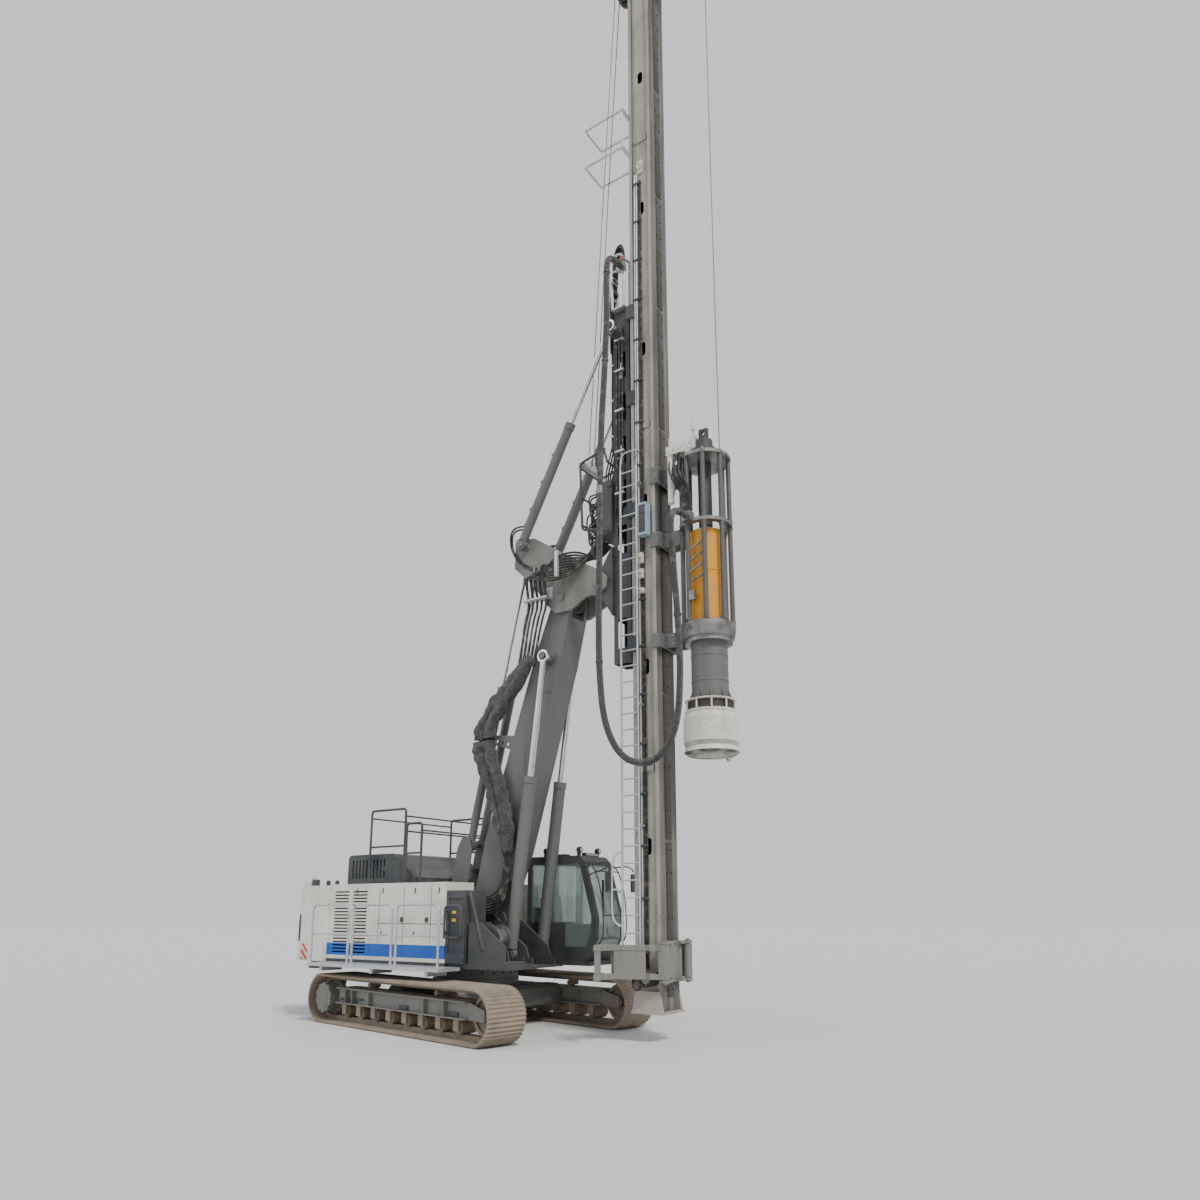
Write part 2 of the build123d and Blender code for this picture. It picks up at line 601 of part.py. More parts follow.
CAB_SIDE = ((CAB_REAR, CAB_FLOOR), (CAB_REAR, CAB_ROOF - 60), (CAB_REAR + 60, CAB_ROOF),
            (CAB_FRONT - 420, CAB_ROOF), (CAB_FRONT - 300, CAB_ROOF - 110), (CAB_FRONT, 2050),
            (CAB_FRONT - 20, 1650), (CAB_FRONT - 240, CAB_FLOOR))
CAB_WINDOW = ((CAB_REAR + 110, 1960), (CAB_REAR + 110, CAB_ROOF - 150), (CAB_FRONT - 470, CAB_ROOF - 150),
              (CAB_FRONT - 400, CAB_ROOF - 210), (CAB_FRONT - 130, 2080), (CAB_FRONT - 140, 1760),
              (CAB_FRONT - 260, 1500), (CAB_FRONT - 760, 1500), (CAB_FRONT - 760, 1960))
DOOR_REAR = CAB_REAR + 640.0
DOOR_FRONT = CAB_FRONT - 330.0
DOOR_LOW = 1330.0
DOOR_HIGH = CAB_ROOF - 120.0
DOOR_GAP = 6.0
HINGE_R = 12.0
HINGE_Z = (DOOR_LOW + 180, DOOR_HIGH - 260)


def inset(points, amount):
    """Outline of the cab moved in by about the wall's thickness."""
    middle_x = (CAB_REAR + CAB_FRONT) / 2
    middle_z = (CAB_FLOOR + CAB_ROOF) / 2
    reach_x, reach_z = (CAB_FRONT - CAB_REAR) / 2, (CAB_ROOF - CAB_FLOOR) / 2
    share_x, share_z = 1 - amount / reach_x, 1 - amount / reach_z
    return [(middle_x + (x - middle_x) * share_x, middle_z + (z - middle_z) * share_z) for x, z in points]


def cab_shell():
    """Hollow cab with its side, front, rear and roof windows and its doorway cut out."""
    shell = side_plate(CAB_SIDE, CAB_RIGHT, CAB_LEFT)
    shell -= side_plate(inset(CAB_SIDE, CAB_WALL), CAB_RIGHT + CAB_WALL, CAB_LEFT - CAB_WALL)
    shell -= side_plate(CAB_WINDOW, CAB_RIGHT - 1, CAB_RIGHT + CAB_WALL + 1)
    shell -= block(DOOR_REAR - DOOR_GAP, DOOR_FRONT + DOOR_GAP, CAB_LEFT - CAB_WALL - 1, CAB_LEFT + 1,
                   DOOR_LOW - DOOR_GAP, DOOR_HIGH + DOOR_GAP)
    side_low, side_high = CAB_LEFT - CAB_WALL - 1, CAB_LEFT + 1
    shell -= block(CAB_REAR + 110, DOOR_REAR - 70, side_low, side_high, 1960, CAB_ROOF - 150)
    y0, y1 = CAB_RIGHT + 90, CAB_LEFT - 90
    shell -= block(CAB_FRONT - 420, CAB_FRONT + 10, y0, y1, 1480, CAB_ROOF - 190)
    shell -= block(CAB_REAR - 10, CAB_REAR + 80, y0, y1, 2250, CAB_ROOF - 150)
    shell -= block(CAB_REAR + 500, CAB_FRONT - 520, y0, y1, CAB_ROOF - 80, CAB_ROOF + 10)
    for z in HINGE_Z:
        shell += block(DOOR_REAR - 70, DOOR_REAR - HINGE_R - 0.5, CAB_LEFT - 1, CAB_LEFT + 20, z, z + 80)
    return shell


def cab_door():
    """Cab door as thick as the wall, with its window cut, a handle and two hinge barrels."""
    door = block(DOOR_REAR, DOOR_FRONT, CAB_LEFT - CAB_WALL, CAB_LEFT, DOOR_LOW, DOOR_HIGH)
    door -= block(DOOR_REAR + 80, DOOR_FRONT - 80, CAB_LEFT - CAB_WALL - 1, CAB_LEFT + 1, 1900,
                  DOOR_HIGH - 80)
    door += block(DOOR_FRONT - 170, DOOR_FRONT - 30, CAB_LEFT - 5, CAB_LEFT + 25, 1800, 1840)
    for z in HINGE_Z:
        y = CAB_LEFT + HINGE_R - 1
        door += rod((DOOR_REAR, y, z), (DOOR_REAR, y, z + 80), HINGE_R)
    return door


def cab_glass():
    """Window panes, each set in the wall it belongs to."""
    pane = 8.0
    right = side_plate(CAB_WINDOW, CAB_RIGHT + 16, CAB_RIGHT + 16 + pane)
    y0, y1 = CAB_RIGHT + 90, CAB_LEFT - 90
    rear = block(CAB_REAR + 16, CAB_REAR + 16 + pane, y0, y1, 2250, CAB_ROOF - 150)
    roof = block(CAB_REAR + 500, CAB_FRONT - 520, y0, y1, CAB_ROOF - 30, CAB_ROOF - 30 + pane)
    band = side_plate(CAB_SIDE, y0, y1) - side_plate(inset(CAB_SIDE, 12), y0 - 1, y1 + 1)
    front = band & block(CAB_FRONT - 420, CAB_FRONT + 10, y0, y1, 1480, CAB_ROOF - 190)
    left = block(CAB_REAR + 110, DOOR_REAR - 70, CAB_LEFT - 30, CAB_LEFT - 22, 1960, CAB_ROOF - 150)
    return Compound([right, rear, roof, *front.solids(), left])


def cab_seat():
    """Seat cushion and back on a pedestal, with two lever consoles."""
    middle = (CAB_RIGHT + CAB_LEFT) / 2
    floor = CAB_FLOOR + CAB_WALL + SEAT_GAP
    seat = block(1180, 1420, middle - 110, middle + 110, floor, floor + 330)
    seat += block(1060, 1560, middle - 250, middle + 250, floor + 325, floor + 470)
    seat += side_plate([(1060, floor + 450), (960, floor + 1180), (1080, floor + 1200), (1190, floor + 450)],
                       middle - 240, middle + 240)
    for side in (-1, 1):
        y = middle + side * 330
        seat += block(1150, 1600, y - 60, y + 60, floor + 420, floor + 560)
        seat += block(1200, 1300, y - 85, y + 60, floor + 380, floor + 440)
        seat += block(1200, 1300, min(y, middle), max(y, middle), floor + 380, floor + 420)
        seat += rod((1540, y, floor + 550), (1560, y, floor + 720), 22)
    return seat


node("upper_frame", upper_frame())
node("strut_tower", strut_tower())
node("engine_housing", housing())
node("engine", engine())
node("hood", hood())
node("counterweight", counterweight())
node("jack_sleeves", Compound([jack_sleeve(-1), jack_sleeve(1)]))
node("jack_foot_right", jack_foot(-1))
node("jack_foot_left", jack_foot(1))
node("walkways", Compound([walkway(-1, PANEL_FRONT - 60), walkway(1, HOUSE_FRONT)]))
node("control_panel", control_panel())
node("front_platform", front_platform())
node("winch", winch())
node("roof_rails", roof_rails())
node("cab_shell", cab_shell())
node("cab_door", cab_door())
node("cab_glass", cab_glass())
node("cab_seat", cab_seat())


# Boom with its luffing cylinders

BOOM_LENGTH = hypot(BOOM_HEAD[0] - BOOM_PIVOT[0], BOOM_HEAD[1] - BOOM_PIVOT[1])
BOOM_DIR = ((BOOM_HEAD[0] - BOOM_PIVOT[0]) / BOOM_LENGTH, (BOOM_HEAD[1] - BOOM_PIVOT[1]) / BOOM_LENGTH)
PIN_GAP = 0.8
EYE_DRIFT = 42.0
FOOT_DEPTH, KNEE_DEPTH, NECK_DEPTH, HEAD_DEPTH = 290.0, 400.0, 330.0, 235.0
KNEE_AT, NECK_AT = 1500.0, 5300.0
ARM_RUN = 3400.0
ARM_REACH = 1150.0


def on_boom(run, offset):
    """Place at a run along the boom from its foot pin, and an offset towards the leader."""
    return (BOOM_PIVOT[0] + run * BOOM_DIR[0] + offset * BOOM_DIR[1],
            BOOM_PIVOT[1] + run * BOOM_DIR[1] - offset * BOOM_DIR[0])


def boom_outline(shrink):
    """Side view of the boom, a box beam deepest at its knee, moved in by a plate's thickness."""
    half = [(-200, 130), (-110, 240), (60, FOOT_DEPTH), (KNEE_AT, KNEE_DEPTH), (NECK_AT, NECK_DEPTH),
            (BOOM_LENGTH - 60, HEAD_DEPTH), (BOOM_LENGTH + 120, HEAD_DEPTH - 60), (BOOM_LENGTH + 200, 90)]
    rear, front = [], []
    for run, depth in half:
        if shrink:
            run = min(max(run, shrink - 200), BOOM_LENGTH + 200 - shrink)
        rear.append(on_boom(run, -(depth - shrink)))
        front.append(on_boom(run, depth - shrink))
    return rear + front[::-1]


def hose_arm():
    """Perforated arm on the boom's back, over which the hoses to the spine hang."""
    low, high = -BOOM_HALF, -BOOM_HALF + BOOM_PLATE - 2
    arm = side_plate([on_boom(ARM_RUN, -340), on_boom(ARM_RUN + 20, -ARM_REACH),
                      on_boom(ARM_RUN + 150, -ARM_REACH), on_boom(ARM_RUN + 290, -340)], low, high)
    for index in range(5):
        arm -= cross_pin(on_boom(ARM_RUN + 95, -460 - 145 * index), low - 1, high + 1, 34)
    return arm + cross_pin(on_boom(ARM_RUN + 100, -ARM_REACH + 40), low - 90, low + 5, 45)


def boom():
    """Box boom, open between its fork cheeks at the foot, with bosses for every pin."""
    beam = side_plate(boom_outline(0), -BOOM_HALF, BOOM_HALF)
    beam -= side_plate(boom_outline(BOOM_PLATE), -BOOM_HALF + BOOM_PLATE, BOOM_HALF - BOOM_PLATE)
    fork = [on_boom(-400, -700), on_boom(900, -700), on_boom(900, 700), on_boom(-400, 700)]
    beam -= side_plate(fork, -BOOM_HALF + 90, BOOM_HALF - 90)
    head_gap = [on_boom(BOOM_LENGTH - 330, -700), on_boom(BOOM_LENGTH + 400, -700),
                on_boom(BOOM_LENGTH + 400, 700), on_boom(BOOM_LENGTH - 330, 700)]
    beam -= side_plate(head_gap, -BOOM_HALF + 100, BOOM_HALF - 100)
    for low, high in ((-BOOM_HALF, -BOOM_HALF + 90), (BOOM_HALF - 90, BOOM_HALF)):
        beam += cross_pin(BOOM_PIVOT, low, high, 190) + cross_pin(BOOM_HEAD, low, high, 190)
    for low, high in ((-BOOM_HALF - 12, -BOOM_HALF + 1), (BOOM_HALF - 1, BOOM_HALF + 12)):
        for run in (1900.0, 4700.0):
            rib = [on_boom(run, -NECK_DEPTH), on_boom(run + 60, -NECK_DEPTH),
                   on_boom(run + 60, NECK_DEPTH), on_boom(run, NECK_DEPTH)]
            beam += side_plate(rib, low, high)
    beam += hose_arm()
    for at in (BOOM_PIVOT, BOOM_HEAD):
        beam -= cross_pin(at, -BOOM_HALF - 50, BOOM_HALF + 50, 80 + PIN_GAP)
    for side in (-1, 1):
        low, high = sorted((side * (BOOM_HALF - 40), side * (CYLINDER_Y + 85)))
        beam += cross_pin(LUFF_EYE, low, high, PIN_R)
        low, high = sorted((side * (BOOM_HALF - 10), side * (CYLINDER_Y - 75)))
        beam += cross_pin(LUFF_EYE, low, high, 140)
        low, high = sorted((side * (CYLINDER_Y + 75), side * (CYLINDER_Y + 90)))
        beam += cross_pin(LUFF_EYE, low, high, 75)
    return beam


def barrels(base, eye, y, length, radius, bore):
    """Pair of cylinder barrels with foot eyes, end glands and an oil pipe along each."""
    pair = []
    start = along(base, eye, 100)
    end = along(base, eye, length)
    for side in (-1, 1):
        middle = side * y
        tube = rod((start[0], middle, start[1]), (end[0], middle, end[1]), radius)
        gland = along(base, eye, length - 130)
        tube += rod((gland[0], middle, gland[1]), (end[0], middle, end[1]), radius + 14)
        tube += cross_pin(base, middle - 58, middle + 58, 125)
        tube -= cross_pin(base, middle - 70, middle + 70, PIN_R + PIN_GAP)
        hollow = along(base, eye, 320)
        tip = along(base, eye, length + 10)
        tube -= rod((hollow[0], middle, hollow[1]), (tip[0], middle, tip[1]), bore)
        low, high = along(base, eye, 420), along(base, eye, length - 60)
        reach = hypot(eye[0] - base[0], eye[1] - base[1])
        out = (radius + 16) / reach
        out_x, out_z = (base[1] - eye[1]) * out, (eye[0] - base[0]) * out
        tube += rod((low[0] + out_x, middle, low[1] + out_z), (high[0] + out_x, middle, high[1] + out_z),
                    OIL_PIPE_R)
        pair.append(tube)
    return pair


def rods(base, eye, y, reach, radius, eye_r):
    """Pair of cylinder rods, each with the eye that is left loose round its pin."""
    pair = []
    start = along(base, eye, reach)
    neck = along(base, eye, hypot(eye[0] - base[0], eye[1] - base[1]) - eye_r + 25)
    for side in (-1, 1):
        middle = side * y
        bar = rod((start[0], middle, start[1]), (neck[0], middle, neck[1]), radius)
        bar += cross_pin(eye, middle - 55, middle + 55, eye_r)
        bar -= cross_pin(eye, middle - 70, middle + 70, PIN_R + EYE_DRIFT)
        pair.append(bar)
    return pair


OIL_PIPE_R = 20.0
STRUT_TUBE_R = 80.0
STRUT_ROD_R = 50.0
TILT_TUBE_R = 92.0
TILT_ROD_R = 58.0
EYE_R = 125.0
ROD_GAP = 0.4

CYLINDERS = (
    # name, foot, eye, half spacing, barrel length, barrel radius, rod radius, start of rod
    ("luff", LUFF_BASE, LUFF_EYE, CYLINDER_Y, LUFF_BARREL, LUFF_TUBE_R, LUFF_ROD_R, 900.0),
    ("strut", STRUT_FOOT, STRUT_EYE, STRUT_Y, STRUT_BARREL, STRUT_TUBE_R, STRUT_ROD_R, 900.0),
    ("tilt", TILT_BASE, TILT_EYE, TILT_Y, TILT_BARREL, TILT_TUBE_R, TILT_ROD_R, 1100.0),
)

node("boom", boom())
for name, foot, eye, y, length, tube_r, rod_r, rod_start in CYLINDERS:
    node(f"{name}_barrels", Compound(barrels(foot, eye, y, length, tube_r, rod_r + ROD_GAP)))
    node(f"{name}_rods", Compound(rods(foot, eye, y, rod_start, rod_r, EYE_R)))


# Rocker and tilt cylinders

ROCKER_OUTLINE = ((1090, 9170), (1110, 9620), (1330, 9760), (1600, 9730), (2720, 8990), (3250, 8660),
                  (3390, 8500), (3370, 8300), (3220, 8190), (2900, 8190), (2520, 7990), (2160, 7990),
                  (1980, 8170), (1640, 8640))


def rocker():
    """Two cheek plates on the boom head, with spacers and the pins that they hold."""
    low, high = BOOM_HALF + 20, BOOM_HALF + 20 + ROCKER_PLATE
    cheeks = None
    for y0, y1 in ((-high, -low), (low, high)):
        plate = side_plate(ROCKER_OUTLINE, y0, y1)
        plate -= cross_pin((1890, 8980), y0 - 1, y1 + 1, 110)
        cheeks = plate if cheeks is None else cheeks + plate
    for side in (-1, 1):
        boss_low, boss_high = sorted((side * high, side * (high + 35)))
        cheeks += cross_pin((1890, 8980), boss_low, boss_high, 165)
        cheeks -= cross_pin((1890, 8980), boss_low - 1, boss_high + 1, 110)
        pin_low, pin_high = sorted((side * (high - 10), side * (TILT_Y + 75)))
        cheeks += cross_pin(TILT_BASE, pin_low, pin_high, PIN_R)
        cap_low, cap_high = sorted((side * (TILT_Y + 64), side * (TILT_Y + 80)))
        cheeks += cross_pin(TILT_BASE, cap_low, cap_high, 75)
        fill_low, fill_high = sorted((side * (high - 10), side * (TILT_Y - 64)))
        cheeks += cross_pin(TILT_BASE, fill_low, fill_high, 80)
    cheeks += cross_pin(STRUT_EYE, -low - 10, low + 10, PIN_R)
    cheeks += cross_pin(BOOM_HEAD, -high - 25, high + 25, 80)
    cheeks += cross_pin(CARRIAGE_PIVOT, -high - 25, high + 25, 75)
    for at, radius in (((1700, 9350), 70), ((2620, 8760), 60)):
        cheeks += cross_pin(at, -low - 10, low + 10, radius)
    return cheeks

SPINE_REAR = 3470.0
SPINE_FRONT = 3860.0
SPINE_HALF = 225.0
LUG_IN = 235.0
LUG_OUT = 310.0
GUIDE_GAP = 0.4
CLAW_Z = (6900.0, 9600.0, 12000.0, 13950.0)
CLAW_HEIGHT = 300.0


def carriage():
    """Spine behind the leader: a box with openings, pivot lugs, guide claws and cylinder pins."""
    x0, x1, y = SPINE_REAR, SPINE_FRONT, SPINE_HALF
    spine = block(x0, x1, -y, y, CARRIAGE_BOTTOM, CARRIAGE_TOP)
    spine -= block(x0 + 18, x1 - 18, -y + 18, y - 18, CARRIAGE_BOTTOM - 1, CARRIAGE_TOP - 18)
    for z in range(int(CARRIAGE_BOTTOM) + 300, int(CARRIAGE_TOP) - 700, 950):
        if abs(z + 300 - CARRIAGE_PIVOT[1]) > 500:
            spine -= block(x0 + 90, x1 - 90, -y - 1, y + 1, z, z + 600)
            spine -= block(x0 - 1, x0 + 20, -y + 90, y - 90, z, z + 600)
    x, z = CARRIAGE_PIVOT
    lug = [(x0 + 5, z + 700), (x - 40, z + 135), (x - 130, z + 50), (x - 130, z - 50), (x - 40, z - 135),
           (x0 + 5, z - 700)]
    for low, high in ((-LUG_OUT, -LUG_IN), (LUG_IN, LUG_OUT)):
        spine += side_plate(lug, low, high)
        side_low, side_high = sorted((low, high))
        spine += block(x0 - 5, x0 + 20, min(side_low, -y), max(side_high, y), z - 700, z + 700)
    spine -= cross_pin(CARRIAGE_PIVOT, -LUG_OUT - 10, LUG_OUT + 10, 75 + PIN_GAP)
    for side in (-1, 1):
        low, high = sorted((side * (y - 5), side * (TILT_Y + 75)))
        spine += cross_pin(TILT_EYE, low, high, PIN_R)
        low, high = sorted((side * (y - 5), side * (TILT_Y - 62)))
        spine += cross_pin(TILT_EYE, low, high, 105)
        low, high = sorted((side * (TILT_Y + 62), side * (TILT_Y + 80)))
        spine += cross_pin(TILT_EYE, low, high, 75)
    for z in CLAW_Z:
        spine += claw(x1 - 5, 1, z, CLAW_HEIGHT)
    return spine


def claw(back_x, way, z, height):
    """Pair of hooked guide shoes that hold the leader's edge rails, facing forward or back."""
    rail_x = LEADER_X - way * LEADER_DEPTH / 2
    half = LEADER_WIDTH / 2
    pair = None
    for side in (-1, 1):
        spans = ((back_x, rail_x - way * GUIDE_GAP, SPINE_HALF - 40, half + GUIDE_WIDTH + 35),
                 (rail_x - way * 40, rail_x + way * (GUIDE_DEPTH + 30), half + GUIDE_WIDTH + RUN_CLEAR,
                  half + GUIDE_WIDTH + 35),
                 (rail_x + way * (GUIDE_DEPTH + RUN_CLEAR), rail_x + way * (GUIDE_DEPTH + 30),
                  half + RUN_CLEAR, half + GUIDE_WIDTH + 35))
        for start, end, inner, outer in spans:
            x0, x1 = sorted((start, end))
            y0, y1 = sorted((side * inner, side * outer))
            piece = block(x0, x1, y0, y1, z, z + height)
            pair = piece if pair is None else pair + piece
    return pair


node("rocker", rocker())
node("carriage", carriage())

# Hose bundle in its sleeve, which hangs from the saddle beside the mast and rises to the hammer's mid ring
HOSE_R = 60.0
HOSE_FACE = -400.0
RING_FACE = -560.0
HOSE_UPPER = ((3780, HOSE_FACE - SEAT_GAP, 15200), (3780, -715, 15200), (3785, -930, 14965),
              (3790, -945, 14480), (3780, -925, 13650), (3710, -905, 12450), (3610, -890, 11240),
              (3590, -880, 10035))
HOSE_LOWER = ((3590, -880, 10035 - SEAT_GAP), (3570, -870, 8830), (3555, -878, 7620), (3570, -885, 6420),
              (3690, -888, 5400), (4085, -880, 4750), (4700, -868, 4640), (5150, -858, 5130),
              (5262, -875, 6200), (5240, -930, 7350), (5255, -1090, 8330), (5251, -1149, 8956),
              (5250, -905, 9200), (5250, RING_FACE - SEAT_GAP, 9200))


def valve_block():
    """Control valves on the back of the spine, inside a bent tube guard."""
    x1 = SPINE_REAR - SEAT_GAP
    block_body = block(x1 - 330, x1, -300, 300, 9420, 10550)
    for index in range(5):
        z = 9520 + index * 200
        block_body += block(x1 - 420, x1 - 325, -240, 240, z, z + 130)
    for z in (9420, 10400):
        for y in (-330, 330):
            block_body += block(x1 - 60, x1, min(y, -y / 3), max(y, -y / 3), z, z + 60)
    guard = None
    for y in (-390, 390):
        loop = pipe([(x1 - 40, y, 9450), (x1 - 640, y, 9600), (x1 - 700, y, 11050), (x1 - 120, y, 11200),
                     (x1 - 40, y, 10900)], RAIL_RADIUS, 100)
        guard = loop if guard is None else guard + loop
    for x, z in ((x1 - 645, 9700), (x1 - 690, 10950), (x1 - 668, 10300)):
        guard += rod((x, -390, z), (x, 390, z), RAIL_RADIUS - 4)
    for z in (9450, 10900):
        guard += rod((x1 - 40, -390, z), (x1 - 40, 390, z), RAIL_RADIUS - 3)
        guard += block(x1 - 60, x1, -SPINE_HALF, SPINE_HALF, z - 20, z + 20)
    return block_body + guard


def hose_saddle():
    """Arched frame on the spine's top, which the hammer's hose bundle hangs over."""
    z = CARRIAGE_TOP + SEAT_GAP
    frame = block(SPINE_REAR + 20, SPINE_FRONT - 20, -200, 200, z, z + 30)
    for y in (-330, -120):
        frame += pipe([(SPINE_REAR + 60, y, z + 15), (SPINE_REAR + 20, y, z + 1150),
                       (SPINE_REAR + 200, y, z + 1330), (SPINE_FRONT - 40, y, z + 1150),
                       (SPINE_FRONT - 60, y, z + 15)], RAIL_RADIUS + 4, 120)
    for height in (300, 700, 1100):
        frame += rod((SPINE_REAR + 45, -330, z + height), (SPINE_REAR + 45, -120, z + height), RAIL_RADIUS)
    x, y, height = HOSE_UPPER[0]
    frame += rod((SPINE_REAR + 35, -330, height), (SPINE_FRONT - 45, -330, height), RAIL_RADIUS - 3)
    frame += block(x - 85, x + 75, HOSE_FACE, -300, height - 90, height + 90)
    return frame + block(SPINE_REAR + 30, SPINE_FRONT - 30, -340, -100, z, z + 30)


# Leader

LEADER_FRONT = LEADER_X + LEADER_DEPTH / 2
LEADER_REAR = LEADER_X - LEADER_DEPTH / 2
LEADER_HALF = LEADER_WIDTH / 2
SLOT_PITCH = 3300.0
HOOK_CLEAR = 45.0
JOINT_Z = (4700.0, 11500.0, 18200.0)


def leader():
    """Box mast with a rail along each edge, slots in its cheeks and a shoe at its foot."""
    mast = block(LEADER_REAR, LEADER_FRONT, -LEADER_HALF, LEADER_HALF, LEADER_BOTTOM, LEADER_TOP)
    mast -= block(LEADER_REAR + LEADER_WALL, LEADER_FRONT - LEADER_WALL, -LEADER_HALF + LEADER_WALL,
                  LEADER_HALF - LEADER_WALL, LEADER_BOTTOM - 1, LEADER_TOP + 1)
    for side in (-1, 1):
        y0, y1 = sorted((side * (LEADER_HALF - 1), side * (LEADER_HALF + GUIDE_WIDTH)))
        mast += block(LEADER_REAR, LEADER_REAR + GUIDE_DEPTH, y0, y1, LEADER_BOTTOM, LEADER_TOP)
        mast += block(LEADER_FRONT - GUIDE_DEPTH, LEADER_FRONT, y0, y1, LEADER_BOTTOM, LEADER_TOP)
    for index in range(1, 7):
        z = index * SLOT_PITCH
        slot = cross_pin((LEADER_X, z + 90), -LEADER_HALF - 2, LEADER_HALF + 2, 60)
        slot += cross_pin((LEADER_X, z - 90), -LEADER_HALF - 2, LEADER_HALF + 2, 60)
        slot += block(LEADER_X - 60, LEADER_X + 60, -LEADER_HALF - 2, LEADER_HALF + 2, z - 90, z + 90)
        mast -= slot
    for z in JOINT_Z:
        for side in (-1, 1):
            y0, y1 = sorted((side * (LEADER_HALF - 1), side * (LEADER_HALF + 24)))
            mast += block(LEADER_REAR + GUIDE_DEPTH + HOOK_CLEAR, LEADER_FRONT - GUIDE_DEPTH - HOOK_CLEAR,
                          y0, y1, z - 60, z + 60)
    return mast



def leader_foot():
    """Shoe plate with gussets under the mast, and the bracket of the pile guide."""
    z = LEADER_BOTTOM - SEAT_GAP
    foot = block(LEADER_REAR - 60, LEADER_FRONT + 60, -LEADER_HALF - 110, LEADER_HALF + 110, z - 45, z)
    for side in (-1, 1):
        y0, y1 = sorted((side * (LEADER_HALF + GUIDE_WIDTH + SEAT_GAP), side * (LEADER_HALF + 110)))
        foot += side_plate([(LEADER_REAR - 40, z - 10), (LEADER_REAR + 30, z + 330),
                            (LEADER_FRONT - 30, z + 330), (LEADER_FRONT + 40, z - 10)], y0, y1)
    return foot


GUIDE_Z = 1060.0
GUIDE_HEIGHT = 560.0
GUIDE_PIN = (4590.0, 400.0)
GUIDE_PIN_R = 38.0
GUIDE_FOLD = 150.0
JAW_CLEAR = 285.0
JAW_GAP = 30.0


def guide_bracket():
    """Box across the mast's front with ears above and below each jaw's hinge pin."""
    z0, z1 = GUIDE_Z - 60, GUIDE_Z + GUIDE_HEIGHT + 60
    x, y = GUIDE_PIN
    frame = block(LEADER_FRONT + SEAT_GAP, LEADER_FRONT + 60, -LEADER_HALF - 60, LEADER_HALF + 60, z0, z1)
    for side in (-1, 1):
        for low in (z0, z1 - 50):
            y0, y1 = sorted((side * 150, side * (y + 60)))
            ear = block(LEADER_FRONT + 40, x, y0, y1, low, low + 50)
            ear += rod((x, side * y, low), (x, side * y, low + 50), 75)
            frame += ear
        frame += rod((x, side * y, z0), (x, side * y, z1), GUIDE_PIN_R)
    return frame


def guide_jaw():
    """The left pile guide jaw in plan as it closes, hinged at its pin and reaching round the pile axis."""
    x, y = GUIDE_PIN
    inner, reach = HAMMER_X + JAW_CLEAR, HAMMER_X + JAW_CLEAR + 120
    outline = [(x - 10, y - 70), (x + 260, y - 60), (x + 330, y + 10), (HAMMER_X + 110, y + 10), (inner, 250),
               (inner, JAW_GAP), (reach, JAW_GAP), (reach, 300), (HAMMER_X + 190, y + 130), (x - 10, y + 70)]
    jaw = None
    for low in (GUIDE_Z, GUIDE_Z + GUIDE_HEIGHT - 90):
        plate = top_plate(outline, low, low + 90)
        jaw = plate if jaw is None else jaw + plate
    jaw += top_plate([(x + 330, y + 20), (HAMMER_X + 90, y + 20), (HAMMER_X + 140, y + 120),
                      (x + 330, y + 90)], GUIDE_Z + 80, GUIDE_Z + GUIDE_HEIGHT - 80)
    jaw += block(inner + 15, reach - 15, JAW_GAP + 15, 270, GUIDE_Z + 80, GUIDE_Z + GUIDE_HEIGHT - 80)
    middle = GUIDE_Z + GUIDE_HEIGHT / 2
    jaw -= rod((inner - 1, 150, middle), (reach + 1, 150, middle), 62)
    jaw += rod((x, y, GUIDE_Z), (x, y, GUIDE_Z + GUIDE_HEIGHT), 72)
    jaw += block(x, x + 120, y - 60, y + 60, GUIDE_Z + 80, GUIDE_Z + GUIDE_HEIGHT - 80)
    return jaw - rod((x, y, GUIDE_Z - 5), (x, y, GUIDE_Z + GUIDE_HEIGHT + 5), GUIDE_PIN_R + PIN_GAP)


def jaw_folded():
    """The left jaw, swung back along the mast as it stands."""
    x, y = GUIDE_PIN
    return Pos(x, y, 0) * Rot(0, 0, GUIDE_FOLD) * Pos(-x, -y, 0) * guide_jaw()


HEAD_Z = LEADER_TOP + SEAT_GAP
SHEAVE_R = 290.0
SHEAVES = ((3760.0, HEAD_Z + 420.0, -90.0), (3760.0, HEAD_Z + 420.0, 90.0),
           (5080.0, HEAD_Z + 520.0, 0.0), (4700.0, HEAD_Z + 420.0, -330.0))


def leader_head():
    """Head on the mast's top: two cheek frames that reach forward and back, holding the sheaves."""
    z = HEAD_Z
    outline = [(3500, z + 300), (3560, z + 620), (3900, z + 820), (4700, z + 860), (5330, z + 700),
               (5330, z + 380), (4760, z + 120), (4470, z), (3940, z), (3700, z + 120)]
    head = block(LEADER_REAR - 20, LEADER_FRONT + 20, -300, 300, z, z + 40)
    for y0, y1 in ((-200, -176), (176, 200)):
        cheek = side_plate(outline, y0, y1)
        for at in ((4100, z + 480), (4440, z + 500)):
            cheek -= cross_pin(at, y0 - 1, y1 + 1, 120)
        head += cheek
    for x, height, y in SHEAVES[:3]:
        head += cross_pin((x, height), -230, 230, 50)
    x, height, y = SHEAVES[3]
    head += cross_pin((x, height), -390, -170, 50)
    return head


